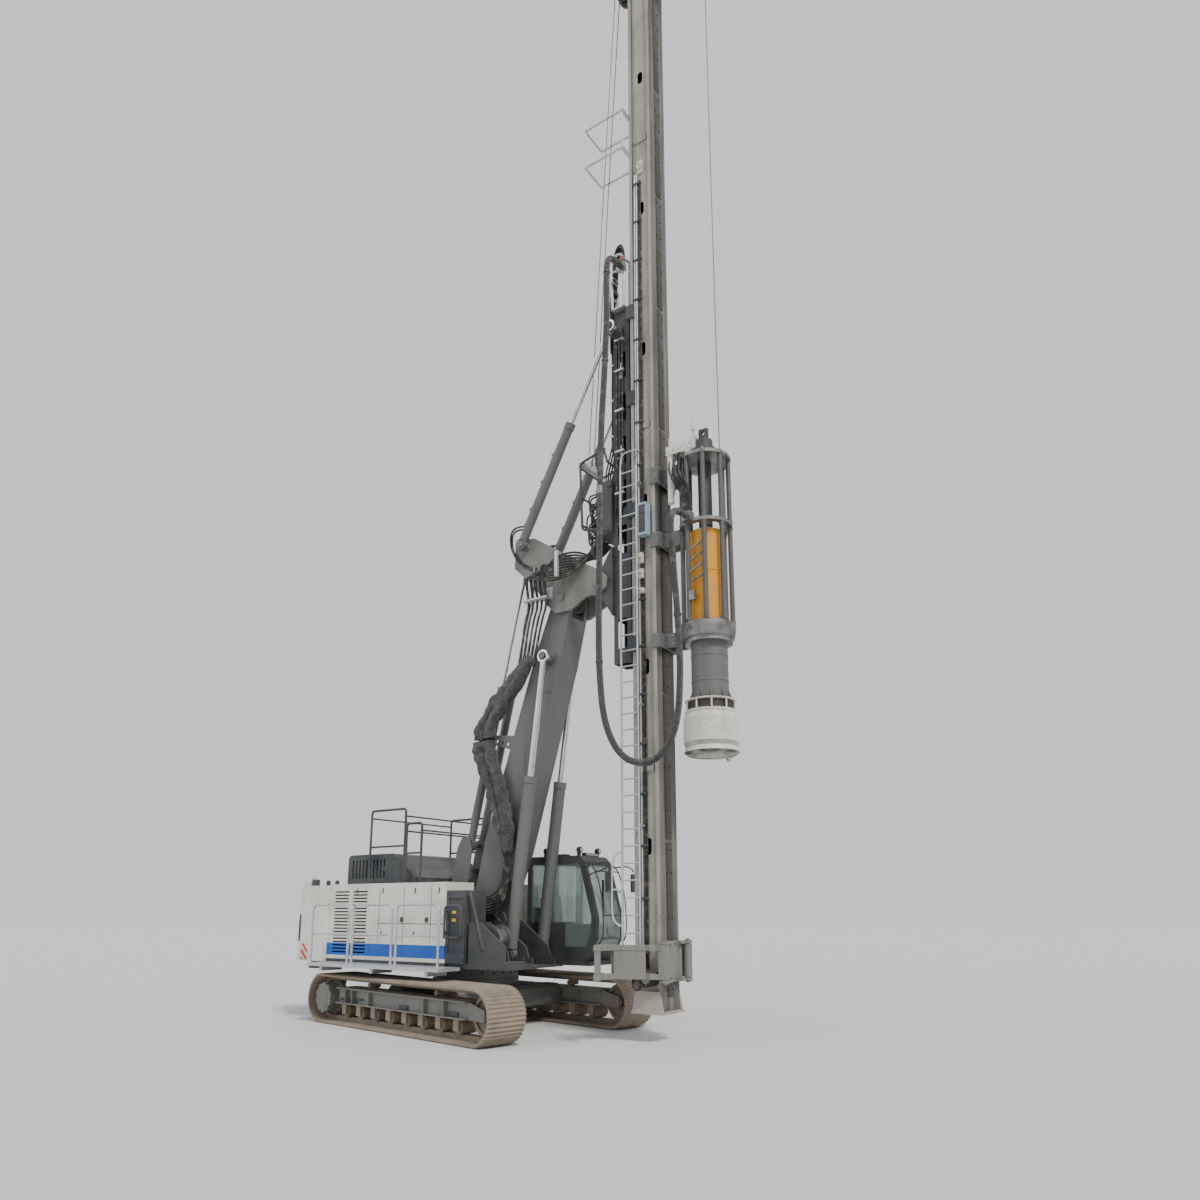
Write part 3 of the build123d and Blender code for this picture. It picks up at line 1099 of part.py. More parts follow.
def sheaves():
    """All rope wheels of the head, each on its own pin."""
    wheels = []
    for x, z, y in SHEAVES:
        wheel = cross_pin((x, z), y - 37, y + 37, SHEAVE_R)
        wheel -= cross_pin((x, z), y - 12, y + 12, SHEAVE_R + 5, SHEAVE_R - 26)
        for index in range(5):
            turn = 2 * pi * index / 5
            wheel -= cross_pin((x + 165 * cos(turn), z + 165 * sin(turn)), y - 40, y + 40, 48)
        wheels.append(wheel - cross_pin((x, z), y - 40, y + 40, 50 + SEAT_GAP))
    return wheels


LADDER_Y = -430.0
LADDER_X = (3760.0, 4120.0)
LADDER_LOW = 1150.0
LADDER_TOP = 10600.0
RUNG_PITCH = 300.0


def ladder():
    """Tube ladder beside the mast, on stubs that reach back to its cheek."""
    frame = None
    for x in LADDER_X:
        stile = rod((x, LADDER_Y, LADDER_LOW), (x, LADDER_Y, LADDER_TOP), 21)
        frame = stile if frame is None else frame + stile
    count = int((LADDER_TOP - LADDER_LOW) / RUNG_PITCH)
    for index in range(count + 1):
        z = LADDER_LOW + 60 + index * RUNG_PITCH
        frame += rod((LADDER_X[0], LADDER_Y, z), (LADDER_X[1], LADDER_Y, z), 15)
    for index in range(5):
        z = LADDER_LOW + 300 + index * 2200
        x = LADDER_X[1]
        frame += block(x - 25, x + 25, LADDER_Y, -LEADER_HALF - SEAT_GAP, z, z + 40)
    return frame


def head_platform():
    """Rectangular tube frame that stands off behind the mast near the top of the view."""
    frame = None
    x0, x1 = 2950.0, LEADER_REAR - SEAT_GAP
    for z in (17950.0, 18900.0):
        loop = rod((x0, -520, z), (x1, -520, z), RAIL_RADIUS) + rod((x0, 120, z), (x1, 120, z), RAIL_RADIUS)
        loop += rod((x0, -520 - RAIL_RADIUS, z), (x0, 120 + RAIL_RADIUS, z), RAIL_RADIUS - 3)
        loop += block(x1 - 60, x1, -545, 145, z - 30, z + 30)
        frame = loop if frame is None else frame + loop
    for x, y in ((x0, -520), (x0, 120), (x1 - 30, -520), (x1 - 30, 120)):
        frame += rod((x, y, 17950), (x, y, 18900), RAIL_RADIUS - 5)
    return frame


def cabinet():
    """Small control cabinet on the mast's cheek, with a recessed face."""
    y = -LEADER_HALF - 26
    box = block(LEADER_X - 45, LEADER_X + 140, y - 170, y, 9130, 9780)
    box -= block(LEADER_X - 20, LEADER_X + 115, y - 175, y - 158, 9180, 9730)
    return box + block(LEADER_X - 20, LEADER_X + 100, y - 5, -LEADER_HALF - SEAT_GAP, 9200, 9260)


# Hammer

BAR_COUNT = 8
BAR_RADIUS = 26.0
BAR_CIRCLE = 440.0
STEP_COUNT = 4
STEP_LOW = 7950.0
STEP_PITCH = 210.0
HELMET_BORE = 262.0
HELMET_DEPTH = 430.0
DRUM_R = 330.0
DRIVE_R = 128.0
DRIVE_TOP = 11150.0
RAM_BORE = 152.0
RAM_ROD_R = 52.0
EYE_BORE = 42.0
RAM_FLOOR = 7600.0
RAM_SEAM = 8180.0
SLEDGE_X = LEADER_FRONT + 85


def turned_solid(profile):
    """Solid of revolution on the hammer's axis, from (radius, z) points."""
    return Pos(HAMMER_X, 0, 0) * revolve(make_face(Plane.XZ * Polyline(*profile, close=True)), Axis.Z)


def helmet():
    """Pile helmet: flared skirt and collar round a blind bore for the pile's head."""
    z0, z1 = HELMET_BOTTOM, HELMET_TOP
    return turned_solid([(HELMET_BORE, z0), (430, z0), (HAMMER_RADIUS, z0 + 45), (455, z0 + 130),
                         (470, z0 + 165), (HAMMER_RADIUS, z0 + 210), (HAMMER_RADIUS, z1 - 90), (455, z1), (0, z1),
                         (0, z0 + HELMET_DEPTH), (HELMET_BORE, z0 + HELMET_DEPTH)])


def anvil_drum():
    """Drum under the cage with its cushion ring, whose windows show the helmet's top."""
    z0 = HELMET_TOP + SEAT_GAP
    drum = turned_solid([(120, z0), (400, z0), (400, z0 + 40), (360, z0 + 60), (360, z0 + 200),
                         (400, z0 + 215), (400, z0 + 260), (DRUM_R, z0 + 275), (DRUM_R, DRUM_TOP - SEAT_GAP),
                         (120, DRUM_TOP - SEAT_GAP)])
    for index in range(8):
        turn = 2 * pi * (index + 0.5) / 8
        near = (HAMMER_X + 300 * cos(turn), 300 * sin(turn), z0 + 130)
        far = (HAMMER_X + 410 * cos(turn), 410 * sin(turn), z0 + 130)
        drum -= rod(near, far, 55)
    return drum


def cage():
    """Guide cage: lower flange, mid ring and top plate joined by round bars."""
    z = DRUM_TOP
    body = turned_solid([(150, z), (430, z), (430, z + 60), (465, z + 90), (HAMMER_RADIUS, z + 250),
                         (HAMMER_RADIUS, FLANGE_TOP), (150, FLANGE_TOP)])
    body += turned_solid([(RAM_RADIUS + 35, RING_MID), (HAMMER_RADIUS, RING_MID),
                          (HAMMER_RADIUS, RING_MID + 60), (RAM_RADIUS + 35, RING_MID + 60)])
    body += turned_solid([(DRIVE_R + SEAT_GAP, CAGE_TOP - 60), (HAMMER_RADIUS, CAGE_TOP - 60),
                          (HAMMER_RADIUS, CAGE_TOP), (DRIVE_R + SEAT_GAP, CAGE_TOP)])
    for index in range(BAR_COUNT):
        turn = 2 * pi * (index + 0.5) / BAR_COUNT
        x, y = HAMMER_X + BAR_CIRCLE * cos(turn), BAR_CIRCLE * sin(turn)
        body += rod((x, y, FLANGE_TOP - 10), (x, y, CAGE_TOP + 45), BAR_RADIUS)
        body += rod((x, y, CAGE_TOP - 5), (x, y, CAGE_TOP + 30), BAR_RADIUS + 16)
    reach, side = BAR_CIRCLE * sin(pi / BAR_COUNT), -BAR_CIRCLE * cos(pi / BAR_COUNT)
    for index in range(STEP_COUNT):
        low = STEP_LOW + index * STEP_PITCH
        body += rod((HAMMER_X - reach, side, low), (HAMMER_X + reach, side, low + 150), BAR_RADIUS - 8)
    body += block(HAMMER_X - reach - 20, HAMMER_X - reach + 130, side - 40, side + 20, STEP_LOW - 330,
                  STEP_LOW - 150)
    x, y, height = HOSE_LOWER[-1]
    return body + block(x - 90, x + 90, RING_FACE, side, height - 90, height + 90)


def hammer_guides():
    """Arms from the cage's rings to guide shoes that hold the mast's front rails."""
    groups = []
    for z, height in ((DRUM_TOP + 40, 260), (RING_MID - 220, 280), (CAGE_TOP - 330, 330)):
        shoe = claw(SLEDGE_X, -1, z, height)
        shoe += block(SLEDGE_X - 30, SLEDGE_X + 20, -LEADER_HALF - 60, LEADER_HALF + 60, z, z + height)
        for side in (-1, 1):
            y0, y1 = sorted((side * 120, side * 175))
            shoe += block(SLEDGE_X, HAMMER_X - 430, y0, y1, z, z + height)
        shoe -= rod((HAMMER_X, 0, z - 1), (HAMMER_X, 0, z + height + 1), HAMMER_RADIUS + SEAT_GAP)
        groups.append(shoe)
    return groups


def drive():
    """Hydraulic cylinder hung from the top plate, with its valve housing and lifting eye."""
    body = turned_solid([(RAM_ROD_R + 3, RING_MID - 60), (DRIVE_R - 22, RING_MID - 60),
                         (DRIVE_R - 22, RING_MID + 40), (DRIVE_R, RING_MID + 60), (DRIVE_R, CAGE_TOP),
                         (250, CAGE_TOP), (250, CAGE_TOP + 190),
                         (170, CAGE_TOP + 230), (170, DRIVE_TOP - 260), (0, DRIVE_TOP - 260),
                         (0, DRIVE_TOP - 340), (RAM_ROD_R + 3, DRIVE_TOP - 340)])
    eye = side_plate([(HAMMER_X - 90, DRIVE_TOP - 262), (HAMMER_X - 90, DRIVE_TOP),
                      (HAMMER_X + 90, DRIVE_TOP), (HAMMER_X + 90, DRIVE_TOP - 262)], -35, 35)
    return body + eye - cross_pin((HAMMER_X, DRIVE_TOP - 90), -40, 40, EYE_BORE)


def ram():
    """Faceted drop weight with the lifting rod that rises into the drive cylinder."""
    z0 = FLANGE_TOP + SEAT_GAP
    weight = Pos(HAMMER_X, 0, z0) * extrude(RegularPolygon(RAM_RADIUS, 16), RAM_TOP - z0)
    weight -= rod((HAMMER_X, 0, RAM_FLOOR), (HAMMER_X, 0, RAM_TOP + 1), RAM_BORE)
    weight -= rod((HAMMER_X, 0, RAM_SEAM), (HAMMER_X, 0, RAM_SEAM + 14), RAM_RADIUS + 5, RAM_RADIUS - 14)
    return weight + rod((HAMMER_X, 0, RAM_FLOOR - 5), (HAMMER_X, 0, RING_MID + 320), RAM_ROD_R)


def manifold():
    """Pale valve manifold on the rear right of the cage's top, with two accumulators."""
    z = CAGE_TOP + SEAT_GAP
    body = block(HAMMER_X - 560, HAMMER_X - 180, -470, -180, z + 60, z + 230)
    body += block(HAMMER_X - 330, HAMMER_X - 230, -360, -280, z, z + 70)
    body += rod((HAMMER_X - 500, -400, z + 60), (HAMMER_X - 500, -400, z - 900), 62)
    return body + rod((HAMMER_X - 500, -400, z + 225), (HAMMER_X - 500, -400, z + 420), 34)


node("valve_block", valve_block())
node("hose_saddle", hose_saddle())
node("hammer_hose_upper", hose(HOSE_UPPER, HOSE_R))
node("hammer_hose_lower", hose(HOSE_LOWER, HOSE_R))
node("leader", leader())
node("leader_foot", leader_foot())
node("guide_bracket", guide_bracket())
node("guide_jaw_left", jaw_folded())
node("guide_jaw_right", mirror_y(jaw_folded()))
node("leader_head", leader_head())
node("head_sheaves", Compound(sheaves()))
node("ladder", ladder())
node("head_platform", head_platform())
node("cabinet", cabinet())
node("helmet", helmet())
node("anvil_drum", anvil_drum())
node("hammer_cage", cage())
node("hammer_guides", Compound(hammer_guides()))
node("hammer_drive", drive())
node("hammer_manifold", manifold())
node("ram", ram())


def export():
    """Write each sub-part to its own file, with the origin under the middle of the overall box."""
    os.makedirs("parts", exist_ok=True)
    for name, shape in NODES.items():
        export_step(Pos(SHIFT_X, 0, 0) * shape, f"parts/{name}.step")


export()
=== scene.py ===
import json
from math import atan, cos, pi, radians, sin

import bmesh
import bpy
from mathutils import Matrix, Vector, noise


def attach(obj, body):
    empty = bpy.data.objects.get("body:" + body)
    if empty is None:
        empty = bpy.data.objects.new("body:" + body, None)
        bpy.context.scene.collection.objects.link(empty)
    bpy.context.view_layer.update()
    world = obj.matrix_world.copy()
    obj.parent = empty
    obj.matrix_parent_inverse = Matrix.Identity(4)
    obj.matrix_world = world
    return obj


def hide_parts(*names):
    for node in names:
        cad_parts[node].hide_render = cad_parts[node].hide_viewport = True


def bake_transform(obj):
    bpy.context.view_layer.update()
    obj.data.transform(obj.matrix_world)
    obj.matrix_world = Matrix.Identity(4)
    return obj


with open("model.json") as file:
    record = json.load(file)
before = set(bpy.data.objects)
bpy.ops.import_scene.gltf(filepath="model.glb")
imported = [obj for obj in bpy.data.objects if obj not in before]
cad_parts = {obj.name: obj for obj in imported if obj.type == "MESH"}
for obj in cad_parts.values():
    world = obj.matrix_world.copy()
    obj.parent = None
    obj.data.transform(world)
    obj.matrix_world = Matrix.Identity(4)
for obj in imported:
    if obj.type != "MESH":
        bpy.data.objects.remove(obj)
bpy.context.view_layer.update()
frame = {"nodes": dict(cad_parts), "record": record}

bl_info = {
    "name": "Foundation rig looks",
    "version": (1, 0, 0),
    "blender": (4, 5, 0),
    "location": "View3D > Sidebar > Rig",
    "description": "Dresses a crawler rig with its leader and hammer in paint, hoses, ropes and fittings",
    "category": "Object",
}

# Places that several pieces share, in metres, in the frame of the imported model
SLEW_X = -1.010
HAMMER_X = 5.37
TILT_FOOT_X, TILT_FOOT_Z = 1.42, 9.56
SINGLE_HOSE = 0.019
UP = Vector((0, 0, 1))


# Node trees

class Finish:
    """A material's node tree, with short calls for what the rig's finishes share."""

    def __init__(self, name):
        self.material = bpy.data.materials.new("rig_" + name)
        self.material.use_nodes = True
        self.nodes = self.material.node_tree.nodes
        self.links = self.material.node_tree.links
        self.shader = self.nodes["Principled BSDF"]
        self.place = self.nodes.new("ShaderNodeTexCoord").outputs["Object"]

    def node(self, kind, values=None, **settings):
        made = self.nodes.new(kind)
        for key, value in settings.items():
            setattr(made, key, value)
        for key, value in (values or {}).items():
            if isinstance(value, bpy.types.NodeSocket):
                self.links.new(value, made.inputs[key])
            else:
                made.inputs[key].default_value = value
        return made

    def stretched(self, scale):
        """The piece's own coordinates, drawn out along an axis for streaks and grain."""
        return self.node("ShaderNodeMapping", {"Vector": self.place, "Scale": scale}).outputs["Vector"]

    def noise(self, scale, detail, place=None):
        values = {"Vector": place or self.place, "Scale": scale, "Detail": detail}
        return self.node("ShaderNodeTexNoise", values).outputs["Fac"]

    def level(self, value, low, high, to_low=0.0, to_high=1.0):
        values = {"Value": value, "From Min": low, "From Max": high, "To Min": to_low, "To Max": to_high}
        return self.node("ShaderNodeMapRange", values).outputs["Result"]

    def sum_of(self, operation, a, b):
        made = self.node("ShaderNodeMath", {0: a, 1: b}, operation=operation, use_clamp=True)
        return made.outputs["Value"]

    def blend(self, share, a, b):
        made = self.node("ShaderNodeMix", {"Factor": share}, data_type="RGBA")
        for key, colour in (("A", a), ("B", b)):
            socket = [s for s in made.inputs if s.name == key and s.type == "RGBA"][0]
            if isinstance(colour, bpy.types.NodeSocket):
                self.links.new(colour, socket)
            else:
                socket.default_value = (*colour, 1)
        return [s for s in made.outputs if s.type == "RGBA"][0]

    def facing_up(self):
        """1 on what faces the sky, where dust settles."""
        normal = self.node("ShaderNodeNewGeometry").outputs["Normal"]
        up = self.node("ShaderNodeSeparateXYZ", {0: normal}).outputs["Z"]
        return self.level(up, 0.3, 0.95)

    def edges(self, reach=0.02):
        """1 near convex edges, where paint chips first."""
        made = self.node("ShaderNodeBevel", {"Radius": reach}, samples=4)
        flat = self.node("ShaderNodeNewGeometry").outputs["Normal"]
        dot = self.node("ShaderNodeVectorMath", {0: made.outputs["Normal"], 1: flat}, operation="DOT_PRODUCT")
        return self.level(dot.outputs["Value"], 0.98, 0.80)

    def set(self, **values):
        for key, value in values.items():
            socket = self.shader.inputs[key.replace("_", " ")]
            if isinstance(value, bpy.types.NodeSocket):
                self.links.new(value, socket)
            else:
                socket.default_value = value

    def paint_over(self, share, colour):
        """Lays a further colour on the finish where the share is 1."""
        self.set(Base_Color=self.blend(share, self.shader.inputs["Base Color"].links[0].from_socket, colour))

    def bump(self, height, strength, distance):
        values = {"Height": height, "Strength": strength, "Distance": distance}
        self.links.new(self.node("ShaderNodeBump", values).outputs["Normal"], self.shader.inputs["Normal"])


DUST = (0.42, 0.35, 0.26)
GRIME = (0.07, 0.062, 0.055)
RUST = (0.20, 0.085, 0.035)
BARE_STEEL = (0.30, 0.29, 0.28)


def site_paint(name, colour, rough=0.45, dust=0.35, grime=0.3, chips=0.35, streaks=0.3):
    """Sprayed machine paint that has worked outdoors: dust on top, streaks down the sides, chipped edges."""
    f = Finish(name)
    cloud = f.noise(1.7, 5)
    fine = f.noise(38, 3)
    runs = f.noise(1.0, 4, f.stretched((9, 9, 0.55)))
    faded = tuple(c * 0.82 + 0.05 for c in colour)
    base = f.blend(f.level(cloud, 0.35, 0.7), colour, faded)
    streaked = f.blend(f.level(runs, 0.56, 0.78, 0, streaks), base, GRIME)
    dirty = f.blend(f.level(f.sum_of("MULTIPLY", cloud, fine), 0.26, 0.42, 0, grime), streaked, GRIME)
    settled = f.sum_of("MULTIPLY", f.facing_up(), f.level(fine, 0.3, 0.7, dust * 0.7, dust))
    dusty = f.blend(settled, dirty, DUST)
    chip = f.sum_of("MULTIPLY", f.edges(), f.level(f.noise(26, 5), 0.46, 0.62, 0, chips))
    f.set(Base_Color=f.blend(chip, dusty, BARE_STEEL), Roughness=f.level(cloud, 0.3, 0.7, rough, rough + 0.2))
    f.bump(f.noise(160, 2), 0.08, 0.002)
    return f


def earthy_steel(name, colour, soil=0.75):
    """Cast steel that runs in the soil: dry earth in its corners, polished where it touches."""
    f = Finish(name)
    cloud = f.noise(3.2, 6)
    fine = f.noise(60, 4)
    worn = f.blend(f.level(cloud, 0.4, 0.62), colour, RUST)
    caked = f.blend(f.level(f.sum_of("MULTIPLY", cloud, fine), 0.16, 0.30, soil * 0.55, soil), worn, DUST)
    f.set(Base_Color=f.blend(f.sum_of("MULTIPLY", f.edges(0.015), 0.6), caked, BARE_STEEL))
    f.set(Roughness=0.85, Metallic=0.15)
    f.bump(fine, 0.5, 0.006)
    return f


def zinc(name, colour):
    """Hot dipped tube and sheet, with its dull spangle."""
    f = Finish(name)
    spangle = f.node("ShaderNodeTexVoronoi", {"Vector": f.place, "Scale": 55}).outputs["Color"]
    grey = f.node("ShaderNodeRGBToBW", {0: spangle}).outputs[0]
    spangled = f.blend(f.level(grey, 0.2, 0.8), colour, tuple(c * 1.18 for c in colour))
    f.set(Base_Color=f.blend(f.level(f.noise(4, 4), 0.5, 0.75, 0, 0.35), spangled, GRIME))
    f.set(Metallic=0.65, Roughness=f.level(grey, 0.2, 0.8, 0.42, 0.58))
    return f


def polished_rod(name):
    """Hard chrome with a film of oil and faint rings along the stroke."""
    f = Finish(name)
    film = f.noise(9, 4)
    f.set(Base_Color=f.blend(f.level(film, 0.5, 0.75, 0, 0.5), (0.72, 0.73, 0.75), (0.34, 0.29, 0.22)))
    f.set(Metallic=1.0, Roughness=f.level(film, 0.3, 0.8, 0.10, 0.34))
    return f


def bare_bar(name, colour):
    """Forged and turned steel, oily and dark."""
    f = Finish(name)
    cloud = f.noise(4, 5)
    f.set(Base_Color=f.blend(f.level(cloud, 0.42, 0.66, 0, 0.7), colour, (0.10, 0.085, 0.07)))
    f.set(Metallic=0.75, Roughness=f.level(cloud, 0.3, 0.7, 0.34, 0.62))
    f.bump(f.noise(120, 3), 0.12, 0.002)
    return f


def rubber_hose(name):
    f = Finish(name)
    cloud = f.noise(7, 4)
    f.set(Base_Color=f.blend(f.level(cloud, 0.5, 0.75, 0, 0.45), (0.018, 0.018, 0.019), DUST), Roughness=0.62)
    f.bump(f.noise(240, 2), 0.15, 0.002)
    return f


def sleeve_cloth(name):
    """The black woven sleeve that is drawn over a bundle of hoses, creased and dusty, with painted shade in its
    creases.
    """
    f = Finish(name)
    weave = f.node("ShaderNodeTexBrick", {"Vector": f.stretched((1, 1, 1)), "Scale": 90,
                                          "Mortar Size": 0.03}).outputs["Fac"]
    crease = f.noise(1.0, 3, f.stretched((16, 16, 34)))
    cloud = f.noise(5, 4)
    # Painted shade and highlight: the cloth is darker in the hollows of the creases and lighter on their ridges
    dark = f.blend(f.level(crease, 0.35, 0.65), (0.022, 0.022, 0.023), (0.075, 0.073, 0.07))
    f.set(Base_Color=f.blend(f.level(cloud, 0.55, 0.8, 0, 0.4), dark, DUST), Roughness=0.88, Sheen_Weight=0.25)
    f.bump(f.sum_of("ADD", f.sum_of("MULTIPLY", weave, 0.25), crease), 0.75, 0.02)
    return f


def tinted_glass(name):
    f = Finish(name)
    f.set(Base_Color=(0.50, 0.62, 0.56, 1), Roughness=0.04, IOR=1.45, Transmission_Weight=0.6)
    f.set(Alpha=f.level(f.noise(1.2, 2), 0.3, 0.8, 0.52, 0.58))
    return f


def seat_cloth(name):
    f = Finish(name)
    weave = f.node("ShaderNodeTexWave", {"Vector": f.place, "Scale": 160, "Distortion": 1.5}).outputs["Fac"]
    f.set(Base_Color=f.blend(weave, (0.02, 0.02, 0.023), (0.055, 0.055, 0.06)), Roughness=0.92)
    f.bump(weave, 0.35, 0.003)
    return f


def banded_paint(name, paint, band, low, high, **wear):
    """A panel paint with a band of a second colour between two heights in metres."""
    f = site_paint(name, paint, **wear)
    height = f.node("ShaderNodeSeparateXYZ", {0: f.place}).outputs["Z"]
    over = f.sum_of("GREATER_THAN", height, low)
    under = f.sum_of("LESS_THAN", height, high)
    f.paint_over(f.sum_of("MULTIPLY", over, under), band)
    return f


def worn_and_shaded_faces(name, paint, worn, axis, side=1, edge=0.7, **wear):
    """Paint darkened on faces looking along an axis or against it: worn steel on the mast, painted shade under the
    helmet.
    """
    f = site_paint(name, paint, **wear)
    split = f.node("ShaderNodeSeparateXYZ", {0: f.node("ShaderNodeTexCoord").outputs["Normal"]}).outputs
    # The darkening is worn steel on the mast's front, and painted shade on the helmet's downward faces
    rub_and_shade = f.level(f.noise(1.0, 5, f.stretched((6, 6, 0.4))), 0.3, 0.6, 0.55, 0.95)
    f.paint_over(f.sum_of("MULTIPLY", f.level(split[axis], edge * side, (edge + 0.2) * side), rub_and_shade), worn)
    return f


# Paints of this rig. Colours are linear, and a user changes them in the panel.

def tint(name):
    """A colour as the panel has it."""
    return tuple(getattr(bpy.context.scene.rig_paints, name))


def ruled(name, ground, mark, axis, pitch, share, slant=0.0):
    """A plate with painted marks at a pitch along an axis, slanted by a second one for stripes."""
    f = site_paint(name, ground, rough=0.4, dust=0.2, grime=0.2, chips=0.2)
    split = f.node("ShaderNodeSeparateXYZ", {0: f.place}).outputs
    run = split[axis]
    if slant:
        leaning = f.node("ShaderNodeMath", {0: split["Z"], 1: slant}, operation="MULTIPLY").outputs["Value"]
        run = f.node("ShaderNodeMath", {0: run, 1: leaning}, operation="ADD").outputs["Value"]
    steps = f.node("ShaderNodeMath", {0: run, 1: pitch}, operation="DIVIDE").outputs["Value"]
    part = f.node("ShaderNodeMath", {0: steps}, operation="FRACT").outputs["Value"]
    f.paint_over(f.node("ShaderNodeMath", {0: part, 1: share}, operation="LESS_THAN").outputs["Value"], mark)
    return f


def rope_strands(name):
    """Greased steel rope, its strands showing as slanted bands."""
    f = Finish(name)
    lay = f.node("ShaderNodeTexWave", {"Vector": f.place, "Scale": 28, "Distortion": 0.4},
                 bands_direction="DIAGONAL").outputs["Fac"]
    f.set(Base_Color=f.blend(lay, (0.09, 0.085, 0.08), (0.30, 0.30, 0.30)), Metallic=0.7, Roughness=0.5)
    f.bump(lay, 0.5, 0.003)
    return f


def ribbed_lens(name, colour):
    """Moulded lens with fine ribs."""
    f = Finish(name)
    ribs = f.node("ShaderNodeTexWave", {"Vector": f.place, "Scale": 60}).outputs["Fac"]
    f.set(Base_Color=f.blend(ribs, colour, tuple(c * 0.8 for c in colour)), Roughness=0.12, IOR=1.5)
    f.set(Transmission_Weight=0.3, Coat_Weight=0.5, Emission_Strength=0.0)
    f.bump(ribs, 0.3, 0.002)
    return f


BAND_LOW, BAND_HIGH = 1.31, 1.55
WHITE_WEAR = {"rough": 0.3, "dust": 0.2, "grime": 0.16, "chips": 0.12, "streaks": 0.16}
MARK_WEAR = {"rough": 0.5, "dust": 0.2, "grime": 0.2, "chips": 0.2}
# Of each finish its maker, its colours, where a name is one of the panel's, and its settings
FINISHES = {
    "machine_grey": (site_paint, ["machine"], {"dust": 0.45, "grime": 0.45}),
    "dark_grey": (site_paint, ["dark"], {"rough": 0.5, "dust": 0.16, "grime": 0.2, "chips": 0.3}),
    "dusty_grey": (site_paint, ["dusty"], {"rough": 0.6, "dust": 0.7, "grime": 0.5, "chips": 0.4, "streaks": 0.6}),
    "panel_white": (site_paint, ["panels"], WHITE_WEAR),
    "banded_panel": (banded_paint, ["panels", "band"], {"low": BAND_LOW, "high": BAND_HIGH, **WHITE_WEAR}),
    "leader_grey": (site_paint, ["mast"], {"rough": 0.5, "dust": 0.3, "grime": 0.35, "chips": 0.5, "streaks": 0.55}),
    "mast_paint": (worn_and_shaded_faces, ["mast", (0.075, 0.066, 0.056)], {
        "axis": "X", "rough": 0.5, "dust": 0.3, "grime": 0.35, "chips": 0.5, "streaks": 0.6}),
    # Painted shade: the helmet's paint is darkened on its downward faces
    "helmet_paint": (worn_and_shaded_faces, ["panels", (0.045, 0.036, 0.03)], {
        "axis": "Z", "side": -1, "edge": 0.3, "rough": 0.35, "dust": 0.25, "grime": 0.3, "chips": 0.3}),
    "pale_paint": (site_paint, ["pale"], {"rough": 0.4, "dust": 0.25, "grime": 0.4, "chips": 0.3}),
    "track_steel": (earthy_steel, [(0.12, 0.10, 0.085)], {}),
    "worn_steel": (bare_bar, [(0.075, 0.068, 0.062)], {}),
    "rod_chrome": (polished_rod, [], {}),
    "galvanised": (zinc, [(0.50, 0.51, 0.52)], {}),
    "bar_steel": (bare_bar, [(0.27, 0.265, 0.26)], {}),
    "cage_steel": (site_paint, [(0.085, 0.083, 0.078)], {"rough": 0.4, "dust": 0.3, "chips": 0.6}),
    "ram_yellow": (site_paint, ["ram"], {"rough": 0.35, "dust": 0.1, "chips": 0.7}),
    "cab_glass": (tinted_glass, [], {}),
    "seat_fabric": (seat_cloth, [], {}),
    "hose_rubber": (rubber_hose, [], {}),
    "sleeve_fabric": (sleeve_cloth, [], {}),
    "rope_steel": (rope_strands, [], {}),
    "cabinet_blue": (site_paint, ["cabinet"], {"rough": 0.4, "dust": 0.25, "chips": 0.2}),
    "plate_yellow": (site_paint, [(0.80, 0.55, 0.03)], {"rough": 0.4, "dust": 0.2, "grime": 0.15, "chips": 0.1}),
    "mark_red": (site_paint, [(0.45, 0.02, 0.03)], MARK_WEAR),
    "mark_green": (site_paint, [(0.03, 0.22, 0.09)], MARK_WEAR),
    "scale_strip": (ruled, ["pale", (0.03, 0.03, 0.03)], {"axis": "Z", "pitch": 0.1, "share": 0.16}),
    "striped_plate": (ruled, [(0.78, 0.76, 0.72), (0.55, 0.03, 0.02)], {
        "axis": "X", "pitch": 0.16, "share": 0.5, "slant": 1.0}),
    "lamp_lens": (ribbed_lens, [(0.85, 0.87, 0.9)], {}),
    "beacon_amber": (ribbed_lens, [(0.85, 0.22, 0.02)], {}),
}
# Finishes of single pieces whose paint isn't the plain one of their slot
OWN_FINISH = {"helmet": "helmet_paint", "engine_housing": "banded_panel", "leader": "mast_paint",
              "anvil_drum": "machine_grey", "track_frames": "dusty_grey", "final_drives": "dusty_grey",
              "guide_bracket": "dusty_grey", "guide_jaw_left": "dusty_grey", "guide_jaw_right": "dusty_grey",
              "rocker": "dusty_grey"}


def paint_the_frame():
    """Gives each node of the model its finish, by the slot that the record names."""
    slots = {part["node"]: part["material_slot"] for part in frame["record"]["subparts"]}
    for name, node in frame["nodes"].items():
        node.data.materials.clear()
        node.data.materials.append(finish(OWN_FINISH.get(name, slots[name])))


# Shapes that many pieces share

def at(x, y, z):
    """A place measured in metres from the slewing axis at ground level, as the part's source has it."""
    return Vector((x + SLEW_X, y, z))


def finish(name):
    """The material of that name, made the first time it is asked for."""
    made = bpy.data.materials.get("rig_" + name)
    if made:
        return made
    maker, colours, settings = FINISHES[name]
    colours = [tint(colour) if isinstance(colour, str) else colour for colour in colours]
    return maker(name, *colours, **settings).material


def show(piece, material):
    """Puts a finished piece in the scene with its material."""
    bpy.context.scene.collection.objects.link(piece)
    piece.data.materials.append(finish(material))
    return piece


def dress(piece, material, body):
    """Puts a finished piece in the scene with its material, to move with a body."""
    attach(show(piece, material), body)
    return piece


